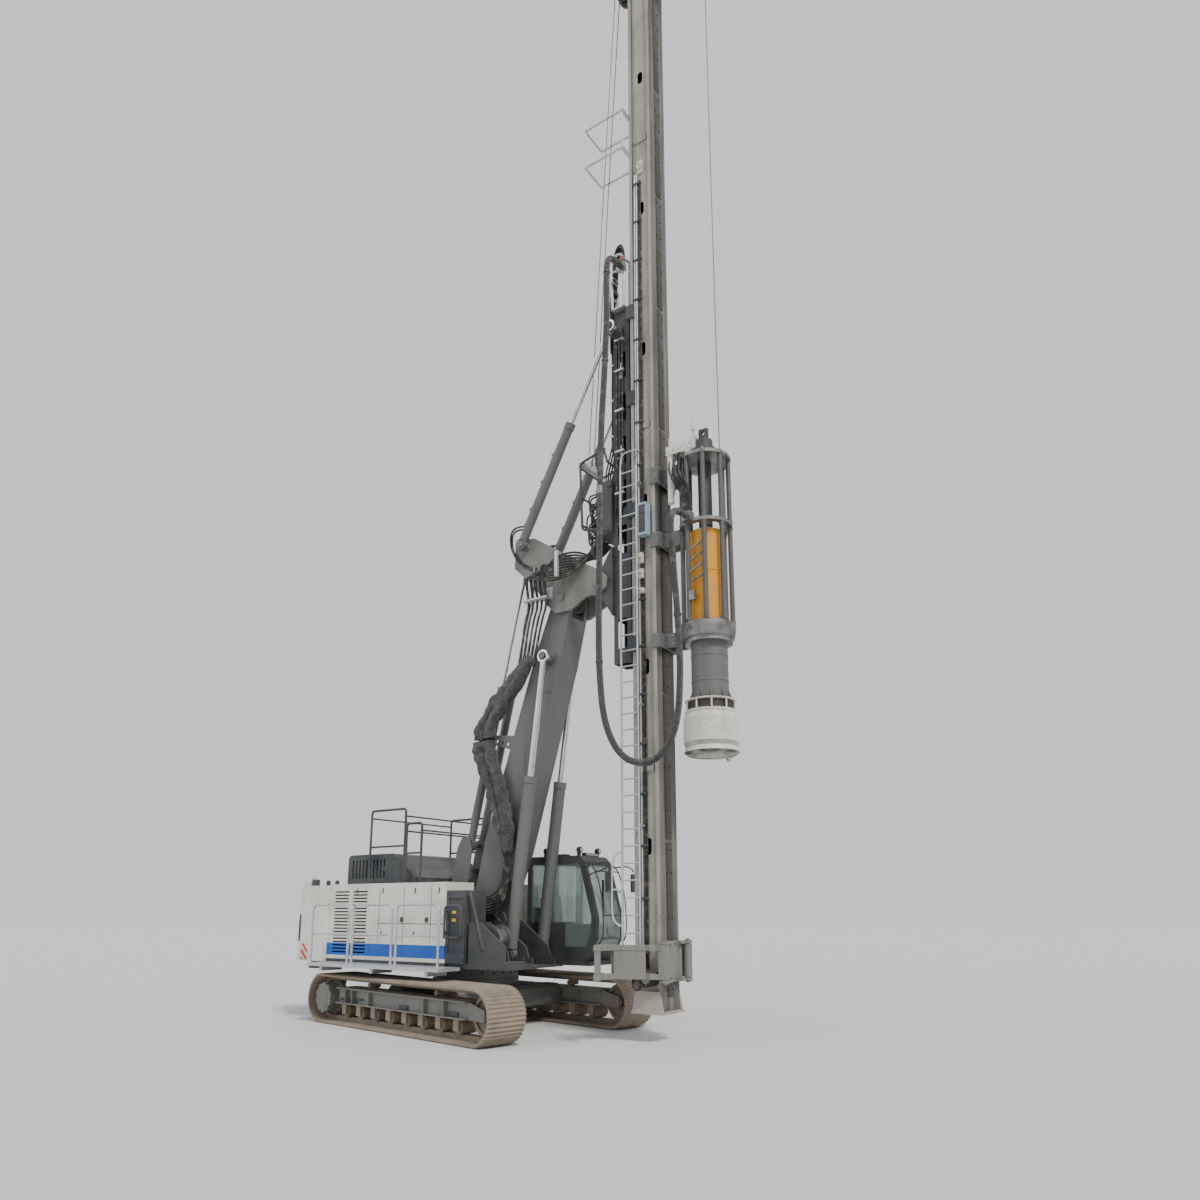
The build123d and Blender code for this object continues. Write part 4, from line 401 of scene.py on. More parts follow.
class Work:
    """A mesh under construction: bars, plates, rings and boxes that end as one piece."""

    def __init__(self):
        self.bm = bmesh.new()

    def box(self, low, high, bevel=0.0):
        """Box between two corners, with its edges broken."""
        low, high = Vector(low), Vector(high)
        place = Matrix.Translation((low + high) / 2) @ Matrix.Diagonal((*(high - low), 1))
        made = bmesh.ops.create_cube(self.bm, size=1, matrix=place)
        if bevel:
            edges = list(dict.fromkeys(e for v in made["verts"] for e in v.link_edges))
            bmesh.ops.bevel(self.bm, geom=edges, offset=bevel, segments=2, affect="EDGES", profile=0.5)

    def bar(self, start, end, radius, sides):
        """Round bar or nut from start to end."""
        start, end = Vector(start), Vector(end)
        run = end - start
        turn = Matrix.Translation((start + end) / 2) @ run.to_track_quat("Z", "Y").to_matrix().to_4x4()
        bmesh.ops.create_cone(self.bm, cap_ends=True, segments=sides, radius1=radius, radius2=radius,
                              depth=run.length, matrix=turn)

    def ring(self, place, turn, run, across, up, sides):
        """Corners of an oval with half widths across and up, at a run ahead of a place."""
        angles = [2 * pi * index / sides for index in range(sides)]
        return [self.bm.verts.new(place + turn @ Vector((across * cos(a), up * sin(a), run))) for a in angles]

    def skin(self, rings):
        """Faces from each ring to the next, and over both ends."""
        sides = len(rings[0])
        for ring, after in zip(rings, rings[1:]):
            for index in range(sides):
                following = (index + 1) % sides
                self.bm.faces.new((ring[index], ring[following], after[following], after[index]))
        self.bm.faces.new(rings[0][::-1])
        self.bm.faces.new(rings[-1])

    def turned(self, start, end, profile, sides):
        """Turned part along start to end, from (distance, radius) pairs."""
        start, end = Vector(start), Vector(end)
        turn = (end - start).to_track_quat("Z", "Y").to_matrix()
        self.skin([self.ring(start, turn, run, radius, radius, sides) for run, radius in profile])

    def loft(self, path, across, up, sides):
        """Tube along a path of points, oval with half widths across and up."""
        rings = []
        for index, place in enumerate(path):
            ahead = path[min(index + 1, len(path) - 1)] - path[max(index - 1, 0)]
            rings.append(self.ring(place, ahead.to_track_quat("Z", "Y").to_matrix(), 0, across, up, sides))
        self.skin(rings)

    def piece(self, name, material, body, smooth=30):
        """Ends the mesh and hands the piece over."""
        bmesh.ops.recalc_face_normals(self.bm, faces=self.bm.faces)
        mesh = bpy.data.meshes.new(name)
        self.bm.to_mesh(mesh)
        self.bm.free()
        mesh.shade_smooth()
        made = bpy.data.objects.new(name, mesh)
        edges = made.modifiers.new("edges", "EDGE_SPLIT")
        edges.split_angle = radians(smooth)
        return dress(made, material, body)


def nurbs(name, routes, radius=0.0):
    """Curve with a smooth NURBS line through each route's control points."""
    curve = bpy.data.curves.new(name, "CURVE")
    curve.dimensions = "3D"
    curve.bevel_depth = radius
    curve.bevel_resolution = 3
    curve.resolution_u = 8
    curve.use_fill_caps = bool(radius)
    for route in routes:
        spline = curve.splines.new("NURBS")
        spline.points.add(len(route) - 1)
        for point, place in zip(spline.points, route):
            point.co = (*place, 1)
        spline.order_u = 3
        spline.use_endpoint_u = True
    return bpy.data.objects.new(name, curve)


def mesh_of(curve):
    """The curve's shape as a mesh, in place of the curve."""
    mesh = bpy.data.meshes.new_from_object(curve)
    mesh.shade_smooth()
    name, line = curve.name, curve.data
    bpy.data.objects.remove(curve)
    bpy.data.curves.remove(line)
    return bpy.data.objects.new(name, mesh)


def hoses(name, routes, radius, material, body):
    """One piece of several hoses, ropes or bent tubes that move with one body."""
    return dress(nurbs(name, routes, radius), material, body)


def crossing_hoses(name, routes, radius, material):
    """One piece of several hoses that bend between two bodies, from start to end."""
    made = show(mesh_of(nurbs(name, routes, radius)), material)
    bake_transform(made)


def centreline(route):
    """Places along a route's NURBS line."""
    made = mesh_of(nurbs("line", [route]))
    places = [v.co.copy() for v in made.data.vertices]
    bpy.data.objects.remove(made)
    return places


# Hose bundle from the saddle to the hammer

HOSE_SIZE = 0.12
STRAP_WIDTH = 0.05
UPPER_ROUTE = [at(*p) for p in (
    (3.780, -0.4003, 15.200), (3.780, -0.715, 15.200), (3.785, -0.930, 14.965), (3.790, -0.945, 14.480),
    (3.780, -0.925, 13.650), (3.710, -0.905, 12.450), (3.610, -0.890, 11.240), (3.590, -0.880, 10.035))]
LOWER_ROUTE = [at(*p) for p in (
    (3.590, -0.880, 10.0347), (3.570, -0.870, 8.830), (3.555, -0.878, 7.620), (3.570, -0.885, 6.420),
    (3.690, -0.888, 5.400), (4.085, -0.880, 4.750), (4.700, -0.868, 4.640), (5.150, -0.858, 5.130),
    (5.262, -0.875, 6.200), (5.240, -0.930, 7.350), (5.255, -1.090, 8.330), (5.251, -1.149, 8.956),
    (5.250, -0.905, 9.200), (5.250, -0.5603, 9.200))]


def clamp_ring(work, place, way, radius):
    """Band of a hose clamp with its screw."""
    way = way.normalized()
    low, high = place - way * STRAP_WIDTH / 2, place + way * STRAP_WIDTH / 2
    work.turned(low, high, ((0, radius), (0, radius + 0.008), (STRAP_WIDTH, radius + 0.008), (STRAP_WIDTH, radius)),
                24)
    side = way.orthogonal().normalized()
    screw, reach = place + side * radius, way.cross(side) * 0.02
    work.bar(screw - reach, screw + reach, 0.012, 8)


def make_hammer_hoses():
    """The two lengths of the slack hose bundle, with their straps and the ferrule that joins them."""
    upper_line, lower_line = centreline(UPPER_ROUTE), centreline(LOWER_ROUTE)
    joint = Work()
    joint.turned(at(3.592, -0.881, 10.12), at(3.588, -0.879, 9.95),
                 ((0, 0.062), (0.01, 0.07), (0.16, 0.07), (0.17, 0.062)), 24)
    on_upper = [joint.piece("hammer_hose_ferrule", "bar_steel", "leader")]
    on_lower = []
    for line, shares, pieces in ((upper_line, (0.03, 0.35, 0.72), on_upper),
                                 (lower_line, (0.2, 0.45, 0.7, 0.97), on_lower)):
        for share in shares:
            index = int(share * (len(line) - 1))
            strap = Work()
            clamp_ring(strap, line[index], line[index + 1] - line[index], HOSE_SIZE / 2)
            pieces.append(strap.piece(f"hose_strap_{len(on_upper) + len(on_lower)}", "dark_grey", "leader"))
    upper = hoses("hammer_hose_top", [UPPER_ROUTE], HOSE_SIZE / 2, "sleeve_fabric", "leader")
    lower = hoses("hammer_hose_loop", [LOWER_ROUTE], HOSE_SIZE / 2, "sleeve_fabric", "leader")
    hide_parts("hammer_hose_upper")
    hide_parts("hammer_hose_lower")


def fitting(work, place, way, size):
    """Crimped steel hose end with its hexagon nut."""
    way = way.normalized()
    work.bar(place, place + way * size * 2.6, size * 0.82, 14)
    work.bar(place - way * size * 0.9, place + way * 0.004, size * 1.05, 6)


# How far forward each single hose ends under the saddle's arch
SADDLE_OUTS = [3.72 + 0.018 * index for index in range(7)]


def make_saddle_hoses():
    """Single hoses that rise along the spine, loop over the saddle's arch and end in the bundle's connector."""
    routes = []
    ends = Work()
    for index, out in enumerate(SADDLE_OUTS):
        y = -0.145 - 0.026 * index
        lift = 15.66 + 0.035 * (index % 3)
        routes.append([at(3.43, y + 0.06, 13.4), at(3.44, y, 14.45), at(3.53, y, 15.1), at(3.56, y - 0.01, lift),
                       at(3.70, y - 0.03, lift + 0.1), at(out, -0.30 - 0.01 * index, lift - 0.05),
                       at(out, -0.335, 15.45), at(out, -0.345, 15.30)])
        fitting(ends, at(out, -0.345, 15.30), UP, 0.02)
    hoses("saddle_hoses", routes, SINGLE_HOSE, "hose_rubber", "carriage")
    for z in (14.75, 15.05):
        ends.box(at(3.47, -0.33, z), at(3.56, -0.13, z + 0.045), 0.006)
    ends.box(at(3.66, -0.405, 15.09), at(3.88, -0.385, 15.31), 0.006)
    for index in range(4):
        x, z = 3.69 + 0.16 * (index % 2), 15.12 + 0.16 * (index // 2)
        ends.bar(at(x, -0.40, z), at(x, -0.418, z), 0.014, 6)
    ends.piece("saddle_fittings", "bar_steel", "carriage")
    for name, paint, marked in (("red_bands", "mark_red", (1, 5)), ("green_bands", "mark_green", (3, 6))):
        bands = Work()
        for index in marked:
            bands.turned(at(SADDLE_OUTS[index], -0.345, 15.37), at(SADDLE_OUTS[index], -0.337, 15.47),
                         ((0, 0.0215), (0.006, 0.024), (0.09, 0.024), (0.096, 0.0215)), 20)
        bands.piece(name, paint, "carriage")


def make_manifold_hoses():
    """Single hoses from the ring's connector up to the manifold on the hammer's top plate."""
    routes = []
    ends = Work()
    for index in range(6):
        x = 5.175 + 0.03 * index
        top = 4.87 + 0.052 * index
        y = -0.44 + 0.05 * (index % 2)
        routes.append([at(x, -0.47, 9.29), at(x, -0.48, 9.62), at(top + 0.12, -0.52 - 0.02 * index, 9.95),
                       at(top, y - 0.05, 10.22), at(top, y, 10.40), at(top, y, 10.56)])
        fitting(ends, at(x, -0.47, 9.29), UP, 0.021)
        fitting(ends, at(top, y, 10.56), -UP, 0.021)
    for x in (4.84, 4.98, 5.12):
        ends.bar(at(x, -0.30, 10.73), at(x, -0.30, 10.79), 0.028, 6)
        ends.bar(at(x, -0.465, 10.64), at(x, -0.50, 10.64), 0.024, 6)
    hoses("manifold_hoses", routes, SINGLE_HOSE, "hose_rubber", "hammer")
    hoses("manifold_pipes", [
        [at(4.87, -0.20, 10.70), at(4.87, -0.10, 10.80), at(5.00, 0.02, 10.82), at(5.16, 0.02, 10.74)],
        [at(5.05, -0.20, 10.66), at(5.10, -0.06, 10.78), at(5.18, -0.04, 10.68)]], 0.016, "galvanised", "hammer")
    ends.box(at(5.17, -0.20, 10.70), at(5.29, -0.10, 10.96), 0.01)
    ends.bar(at(5.23, -0.15, 10.95), at(5.23, -0.15, 11.40), 0.018, 20)
    ends.bar(at(5.23, -0.15, 11.10), at(5.23, -0.15, 11.14), 0.034, 6)
    ends.bar(at(5.13, -0.15, 10.88), at(5.18, -0.15, 10.88), 0.026, 6)
    ends.piece("manifold_fittings", "galvanised", "hammer")


def make_tilt_hoses():
    """Pipes along the tilt cylinders, and the hoses that curl round the rocker's end to reach them."""
    pipes, curls = [], []
    clamps = Work()
    # Along the cylinders as they stand at rest, and square to them on their rear side
    run, out = Vector((0.4649, 0, 0.8854)), Vector((-0.8854, 0, 0.4649))
    for side in (-1, 1):
        for index, y in enumerate((0.53, 0.58)):
            low = at(TILT_FOOT_X, side * y, TILT_FOOT_Z) + run * (0.34 + 0.05 * index) + out * 0.115
            pipes.append([low, low + run * 0.5, low + run * 1.4, low + run * 1.95, low + run * 2.02 - out * 0.05])
            drop = 0.045 * index
            curls.append([at(2.10, side * 0.374, 8.86 - drop), at(1.80, side * 0.376, 9.00 - drop),
                          at(1.42, side * 0.38, 9.14 - drop), at(1.17, side * 0.40, 9.36 - drop),
                          at(1.06 - drop, side * 0.46, 9.66), at(1.16, side * y, 9.98 + drop), low - run * 0.02])
            fitting(clamps, low, run, 0.02)
        for share in (0.75, 1.35, 1.95):
            middle = at(TILT_FOOT_X, side * 0.555, TILT_FOOT_Z) + run * share + out * 0.115
            clamps.box(middle - Vector((0.03, 0.05, 0.03)), middle + Vector((0.03, 0.05, 0.03)), 0.008)
    hoses("tilt_pipes", pipes, 0.013, "galvanised", "tilt_barrels")
    ties = Work()
    for side in (-1, 1):
        for x, z in ((2.08, 8.85), (1.62, 9.05), (1.30, 9.22)):
            y0, y1 = sorted((side * 0.346, side * 0.40))
            ties.box(at(x - 0.025, y0, z - 0.075), at(x + 0.025, y1, z + 0.04), 0.008)
    ties.piece("rocker_hose_ties", "bar_steel", "rocker")
    clamps.piece("tilt_clamps", "bar_steel", "tilt_barrels")
    crossing_hoses("tilt_hoses", curls, SINGLE_HOSE, "hose_rubber")


# Hoses from the deck to the valve block, and the ropes

def hose_radius():
    """Half the thickness of a deck hose, as the panel has it."""
    return bpy.context.scene.rig_sizes.hose


def rope_radius():
    """Half the thickness of a rope, as the panel has it."""
    return bpy.context.scene.rig_sizes.rope


SLEEVE_SIDES = 28
# A sleeve opens out within one part in this many of its length from each end, where it is drawn in to this size
GATHERED_SHARE = 14
GATHERED_SIZE = 0.72


def crumpled(work, route, across, up):
    """Cloth sleeve along a route: flattened, pulled in and puffed out in turns, with its ends gathered."""
    places = centreline(route)
    start = len(work.bm.verts)
    work.loft(places, up, across, SLEEVE_SIDES)
    work.bm.verts.ensure_lookup_table()
    for index, place in enumerate(places):
        share = index / (len(places) - 1)
        open_out = min(min(share, 1 - share) * GATHERED_SHARE, 1)
        size = GATHERED_SIZE + (1 - GATHERED_SIZE) * open_out
        for step in range(SLEEVE_SIDES):
            vert = work.bm.verts[start + index * SLEEVE_SIDES + step]
            fold = noise.noise(vert.co * 7.0) * 0.45 + noise.noise(vert.co * 19.0) * 0.18
            vert.co = place + (vert.co - place) * (1 + fold * open_out) * size


def make_boom_sleeves():
    """Two cloth sleeves over the hoses, hung over the arm on the boom's back."""
    work = Work()
    width = bpy.context.scene.rig_sizes.sleeve
    for side, shift in ((-0.42, 0.0), (-0.44, 0.26)):
        route = [at(1.06 + shift * 0.25, side, 3.30), at(0.98 + shift * 0.5, side, 3.75),
                 at(0.72 + shift * 0.9, side - 0.02, 4.5), at(0.36 + shift, side, 5.2), at(0.27 + shift, side, 5.66),
                 at(0.46 + shift, side, 6.1), at(1.06 + shift * 0.6, side, 6.6),
                 at(1.52 + shift * 0.3, side + 0.02, 7.15)]
        crumpled(work, route, width, width * 0.7)
    work.piece("boom_sleeves", "sleeve_fabric", "boom", 60)


def make_deck_hoses():
    """Hoses that sag from the service panel and rise into the boom's sleeves."""
    routes = []
    for index in range(11):
        row, number = divmod(index, 4)
        spread = 0.042 * number - 0.06
        low = 2.45 - 0.11 * row - 0.05 * number
        routes.append([at(-0.28 - 0.05 * row, -0.72 - 0.04 * number, 2.62 + 0.05 * row),
                       at(0.10, -0.66 - 0.03 * number, low + 0.06), at(0.62, -0.56, low - 0.05),
                       at(1.02 + spread, -0.46, low + 0.1), at(1.10 + spread, -0.43, 2.95),
                       at(1.09 + spread, -0.42 - 0.02 * row, 3.42)])
    crossing_hoses("deck_hoses", routes, hose_radius(), "hose_rubber")


def make_head_hoses():
    """Hoses from the boom's sleeves to a plate on the rocker, and on in loops to the valve block."""
    plate = Work()
    plate.box(at(1.47, -0.56, 8.30), at(2.08, -0.384, 8.34), 0.006)
    plate.box(at(1.92, -0.40, 8.31), at(2.10, -0.343, 8.56), 0.006)
    plate.box(at(2.40, -0.72, 8.66), at(2.46, -0.343, 8.74), 0.012)
    plate.box(at(2.39, -0.73, 8.60), at(2.47, -0.66, 9.14), 0.01)
    routes, loops = [], []
    for index in range(10):
        x = 1.52 + 0.056 * index
        y = -0.43 - 0.055 * (index % 2)
        routes.append([at(1.30 + 0.045 * index, -0.44, 6.95), at(1.40 + 0.05 * index, y - 0.02, 7.5),
                       at(x - 0.05, y - 0.03, 7.95), at(x, y, 8.12), at(x, y, 8.29)])
        loops.append([at(x, y, 8.35), at(x - 0.01, y - 0.06, 8.60), at(x + 0.10, -0.66 - 0.02 * (index % 2), 8.82),
                      at(2.10 + 0.04 * index, -0.69, 8.56 + 0.056 * index),
                      at(2.68 + 0.03 * index, -0.60, 8.58 + 0.052 * index),
                      at(3.00, -0.42 + 0.045 * index, 8.98), at(3.10, -0.26 + 0.055 * index, 9.40)])
        for z, way in ((8.29, -1), (8.35, 1)):
            fitting(plate, at(x, y, z), UP * way, 0.020)
    crossing_hoses("boom_hoses", routes, hose_radius(), "hose_rubber")
    crossing_hoses("rocker_hoses", loops, hose_radius(), "hose_rubber")
    plate.piece("rocker_bulkhead", "galvanised", "rocker")


def make_valve_hoses():
    """Hoses that loop out of the valve sections and lie in the tube guard."""
    routes = []
    ends = Work()
    for row in range(5):
        z = 9.585 + 0.2 * row
        for index in range(5):
            y = -0.20 + 0.1 * index
            drop = 0.12 + 0.05 * ((row * 3 + index * 2) % 4)
            out = 2.93 - 0.045 * ((index + row) % 3)
            routes.append([at(3.04, y, z), at(2.98, y, z), at(out, y - 0.02, z - 0.02),
                           at(out - 0.02, y - 0.03, z - drop), at(out + 0.02, y - 0.02, z - 2 * drop),
                           at(3.02, y + 0.01, max(z - 2.6 * drop, 9.36))])
            fitting(ends, at(3.045, y, z), Vector((-1, 0, 0)), 0.019)
    for index in range(6):
        y = -0.20 + 0.08 * index
        routes.append([at(3.28, y, 10.56), at(3.26, y, 10.75), at(3.34, y, 11.0), at(3.42, y * 0.9 - 0.02, 11.3)])
        fitting(ends, at(3.28, y, 10.56), UP, 0.019)
    hoses("valve_hoses", routes, 0.018, "hose_rubber", "carriage")
    ends.piece("valve_fittings", "galvanised", "carriage")


def make_spine_hoses():
    """Hoses clamped along the back and right side of the spine, up to the saddle."""
    routes = []
    clamps = Work()
    for index in range(6):
        y = -0.20 + 0.06 * index
        wave = 0.02 * (index % 3)
        routes.append([at(3.42, y, 11.2), at(3.44 - wave, y, 11.8), at(3.43, y + wave, 12.5),
                       at(3.445 - wave, y, 13.1), at(3.43, y, 13.5), at(3.43, y - 0.01, 14.0)])
    for index in range(3):
        x = 3.56 + 0.07 * index
        routes.append([at(x - 0.1, -0.20, 9.5), at(x, -0.262, 9.9), at(x + 0.02, -0.262, 10.8), at(x, -0.262, 11.7),
                       at(x + 0.015, -0.262, 12.8), at(x, -0.262, 13.9)])
    for z in (11.5, 12.3, 13.1, 13.85):
        clamps.box(at(3.405, -0.225, z), at(3.468, 0.13, z + 0.05), 0.005)
    for z in (10.2, 11.1, 12.0, 12.9, 13.6):
        clamps.box(at(3.53, -0.285, z), at(3.74, -0.226, z + 0.045), 0.005)
    hoses("spine_hoses", routes, 0.021, "hose_rubber", "carriage")
    clamps.piece("spine_clamps", "galvanised", "carriage")


HOIST_Y = 0.09
ROPE_X, ROPE_Y = 5.405, 0.60
WHEEL_X, WHEEL_Z = 5.16, 22.90


def make_ropes():
    """Hoist ropes from the head's rear wheels to the spine, and the plain rope that hangs from its side wheel."""
    for name, y in (("hoist_rope_right", -HOIST_Y), ("hoist_rope_left", HOIST_Y)):
        crossing_hoses(name, [[at(3.475, y, 22.72), at(3.20, y, 18.6), at(2.78, y, 11.35)]], rope_radius(),
                       "rope_steel")
    eyes = Work()
    for y in (-HOIST_Y, HOIST_Y):
        eyes.box(at(2.74, y - 0.03, 11.08), at(2.82, y + 0.03, 11.20), 0.01)
        eyes.turned(at(2.78, y, 11.19), at(2.78, y, 11.40), ((0, 0.026), (0.12, 0.024), (0.21, 0.013)), 20)
    eyes.box(at(2.71, -0.38, 11.00), at(2.85, 0.38, 11.09), 0.01)
    eyes.piece("rope_sockets", "galvanised", "carriage")
    hoses("working_rope", [[at(ROPE_X, ROPE_Y, z) for z in (WHEEL_Z, 14.0, 5.1)]], rope_radius(), "rope_steel",
          "leader")


def make_side_wheel():
    """Rope wheel that stands out on the far side of the head, with its bracket, and the weight on its rope."""
    bracket = Work()
    bracket.box(at(4.96, 0.195, 22.815), at(5.12, 0.66, 22.865), 0.008)
    for y in (0.54, 0.63):
        bracket.box(at(4.98, y, 22.70), at(5.28, y + 0.03, 23.10), 0.01)
    bracket.bar(at(WHEEL_X, 0.53, WHEEL_Z), at(WHEEL_X, 0.67, WHEEL_Z), 0.045, 24)
    bracket.piece("side_wheel_bracket", "leader_grey", "leader")
    wheel = Work()
    wheel.turned(at(WHEEL_X, 0.575, WHEEL_Z), at(WHEEL_X, 0.625, WHEEL_Z),
                 ((0, 0.06), (0, 0.25), (0.012, 0.26), (0.025, 0.235), (0.038, 0.26), (0.05, 0.25), (0.05, 0.06)), 48)
    wheel.piece("side_wheel", "galvanised", "leader")
    hook = Work()
    hook.turned(at(ROPE_X, ROPE_Y, 5.32), at(ROPE_X, ROPE_Y, 4.80),
                ((0, 0.012), (0.03, 0.026), (0.20, 0.026), (0.22, 0.055), (0.46, 0.055), (0.50, 0.03)), 24)
    hook.piece("rope_weight", "galvanised", "leader")


# Fittings of the mast

# Pins of the pile guide's jaws
GUIDE_PIN_X, GUIDE_PIN_Y = 4.59, 0.40


def make_mast_pipes():
    """Pipes, cables and the depth scale down the mast's right cheek, with their clamps."""
    pipes = [[at(x, -0.278, 1.15), at(x, -0.278, 7.9), at(x, -0.278, 15.2), at(x + 0.02, -0.278, 17.35)]
             for x in (4.035, 4.085)]
    hoses("mast_pipes", pipes, 0.017, "galvanised", "leader")
    cables = []
    for index in range(3):
        x = 4.135 + 0.028 * index
        route = [at(x, -0.272, 1.2)]
        for step in range(1, 18):
            route.append(at(x + 0.006 * (-1) ** (step + index), -0.272 - 0.004 * (step % 2), 1.2 + 0.94 * step))
        cables.append(route)
    hoses("mast_cables", cables, 0.0115, "hose_rubber", "leader")
    work = Work()
    for step in range(18):
        z = 1.45 + 0.92 * step
        work.box(at(4.005, -0.300, z), at(4.205, -0.2505, z + 0.05), 0.006)
        for x in (4.02, 4.11, 4.19):
            work.bar(at(x, -0.30, z + 0.025), at(x, -0.313, z + 0.025), 0.011, 6)
    work.piece("mast_clamps", "dark_grey", "leader")
    scale = Work()
    scale.box(at(3.952, -0.2565, 1.7), at(3.992, -0.2506, 17.6), 0.001)
    scale.piece("depth_scale", "scale_strip", "leader")


def make_mast_strips():
    """Wear strips bolted to the mast's front face, and the lug on its right cheek."""
    work = Work()
    for step in range(8):
        low = 0.75 + 2.68 * step
        work.box(at(4.4605, -0.105, low), at(4.472, 0.105, low + 2.62), 0.003)
        for bolt in range(7):
            for y in (-0.075, 0.075):
                z = low + 0.12 + 0.395 * bolt
                work.bar(at(4.472, y, z), at(4.482, y, z), 0.014, 6)
    work.piece("mast_strips", "worn_steel", "leader")
    lug = Work()
    lug.box(at(4.12, -0.285, 17.35), at(4.25, -0.2505, 17.66), 0.01)
    lug.turned(at(4.185, -0.25, 17.52), at(4.185, -0.33, 17.52),
               ((0, 0.075), (0.06, 0.075), (0.062, 0.04), (0.05, 0.038)), 28)
    lug.piece("mast_lug", "pale_paint", "leader")


def make_mast_valves():
    """Small valve blocks, the cabinet's face, and the hand rails at the ladder's foot and landing."""
    work = Work()
    for x, y, z, size in ((4.06, -0.36, 8.62, (0.13, 0.10, 0.20)), (4.08, -0.35, 8.32, (0.11, 0.09, 0.18)),
                          (4.06, -0.35, 8.02, (0.14, 0.09, 0.10))):
        low = at(x, y, z)
        work.box(low, low + Vector(size), 0.008)
        for index in range(3):
            knob = low + Vector((size[0] * (0.2 + 0.3 * index), 0, size[2] * 0.5))
            work.bar(knob, knob - Vector((0, 0.035, 0)), 0.017, 6)
    work.piece("mast_valves", "pale_paint", "leader")
    face = Work()
    face.box(at(4.172, -0.4465, 9.17), at(4.325, -0.435, 9.74), 0.004)
    for index in range(3):
        z = 9.28 + 0.15 * index
        face.bar(at(4.21, -0.4465, z), at(4.21, -0.456, z), 0.018, 20)
        face.box(at(4.25, -0.452, z - 0.03), at(4.30, -0.446, z + 0.03), 0.002)
    face.piece("cabinet_face", "dark_grey", "leader")
    hoses("ladder_rails", [
        [at(3.76, -0.43, 3.22), at(3.66, -0.50, 3.18), at(3.60, -0.52, 3.02), at(3.60, -0.52, 2.55),
         at(3.60, -0.52, 2.12), at(3.66, -0.50, 1.95), at(3.76, -0.43, 1.92)],
        [at(3.60, -0.52, 2.55), at(3.68, -0.47, 2.55), at(3.76, -0.43, 2.55)],
        [at(3.76, -0.43, 10.55), at(3.76, -0.43, 10.84), at(3.84, -0.41, 10.95), at(4.04, -0.40, 10.95),
         at(4.10, -0.38, 10.95), at(4.10, -0.25, 10.95)]], 0.017, "galvanised", "leader")


def make_foot_hoses():
    """Short hoses, pins and caps about the pile guide at the mast's foot."""
    routes = []
    for index in range(5):
        y = -0.30 - 0.05 * index
        routes.append([at(4.06 + 0.02 * index, -0.272, 1.50), at(4.03, y - 0.08, 1.30 - 0.05 * index),
                       at(4.10, y - 0.14, 0.98 - 0.03 * index), at(4.30, y - 0.10, 0.92),
                       at(4.44, y, 1.0 + 0.03 * index), at(4.47, -0.27 - 0.015 * index, 1.25)])
    hoses("foot_hoses", routes, 0.014, "hose_rubber", "leader")
    work = Work()
    for side in (-1, 1):
        for z, way in ((1.68, 1), (1.00, -1)):
            foot, disc, nut = (at(GUIDE_PIN_X, side * GUIDE_PIN_Y, z + way * run) for run in (0, 0.018, 0.034))
            work.bar(foot, disc, 0.055, 20)
            work.bar(disc, nut, 0.026, 6)
    for y in (-0.27, -0.09, 0.09, 0.27):
        for z in (1.05, 1.62):
            work.bar(at(4.52, y, z), at(4.536, y, z), 0.022, 6)
    work.piece("guide_fasteners", "bar_steel", "leader")


# Fittings of the hammer

DRUM_R = 0.331
BAR_CIRCLE = 0.44
# Rings of nuts on the hammer's flanges: how many, on what radius, how high, how thick and how tall
NUT_RINGS = ((24, 0.455, 7.22, 0.017, 0.0221), (24, 0.462, 9.16, 0.013, 0.0169), (16, 0.39, 5.84, 0.013, 0.0169),
             (12, 0.22, 10.69, 0.016, 0.022))


def make_hammer_bolts():
    """Nuts on the hammer's flanges, and the bands of its drum."""
    work = Work()
    for count, radius, z, size, tall in NUT_RINGS:
        for index in range(count):
            turn = 2 * pi * (index + 0.5) / count
            place = at(HAMMER_X + radius * cos(turn), radius * sin(turn), z)
            work.bar(place, place + UP * tall, size, 6)
    work.piece("hammer_bolts", "bar_steel", "hammer")
    trim = Work()
    for z in (6.15, 6.62):
        trim.turned(at(HAMMER_X, 0, z), at(HAMMER_X, 0, z + 0.03),
                    ((0, DRUM_R), (0.006, DRUM_R + 0.008), (0.024, DRUM_R + 0.008), (0.03, DRUM_R)), 64)
    trim.piece("drum_bands", "machine_grey", "hammer")


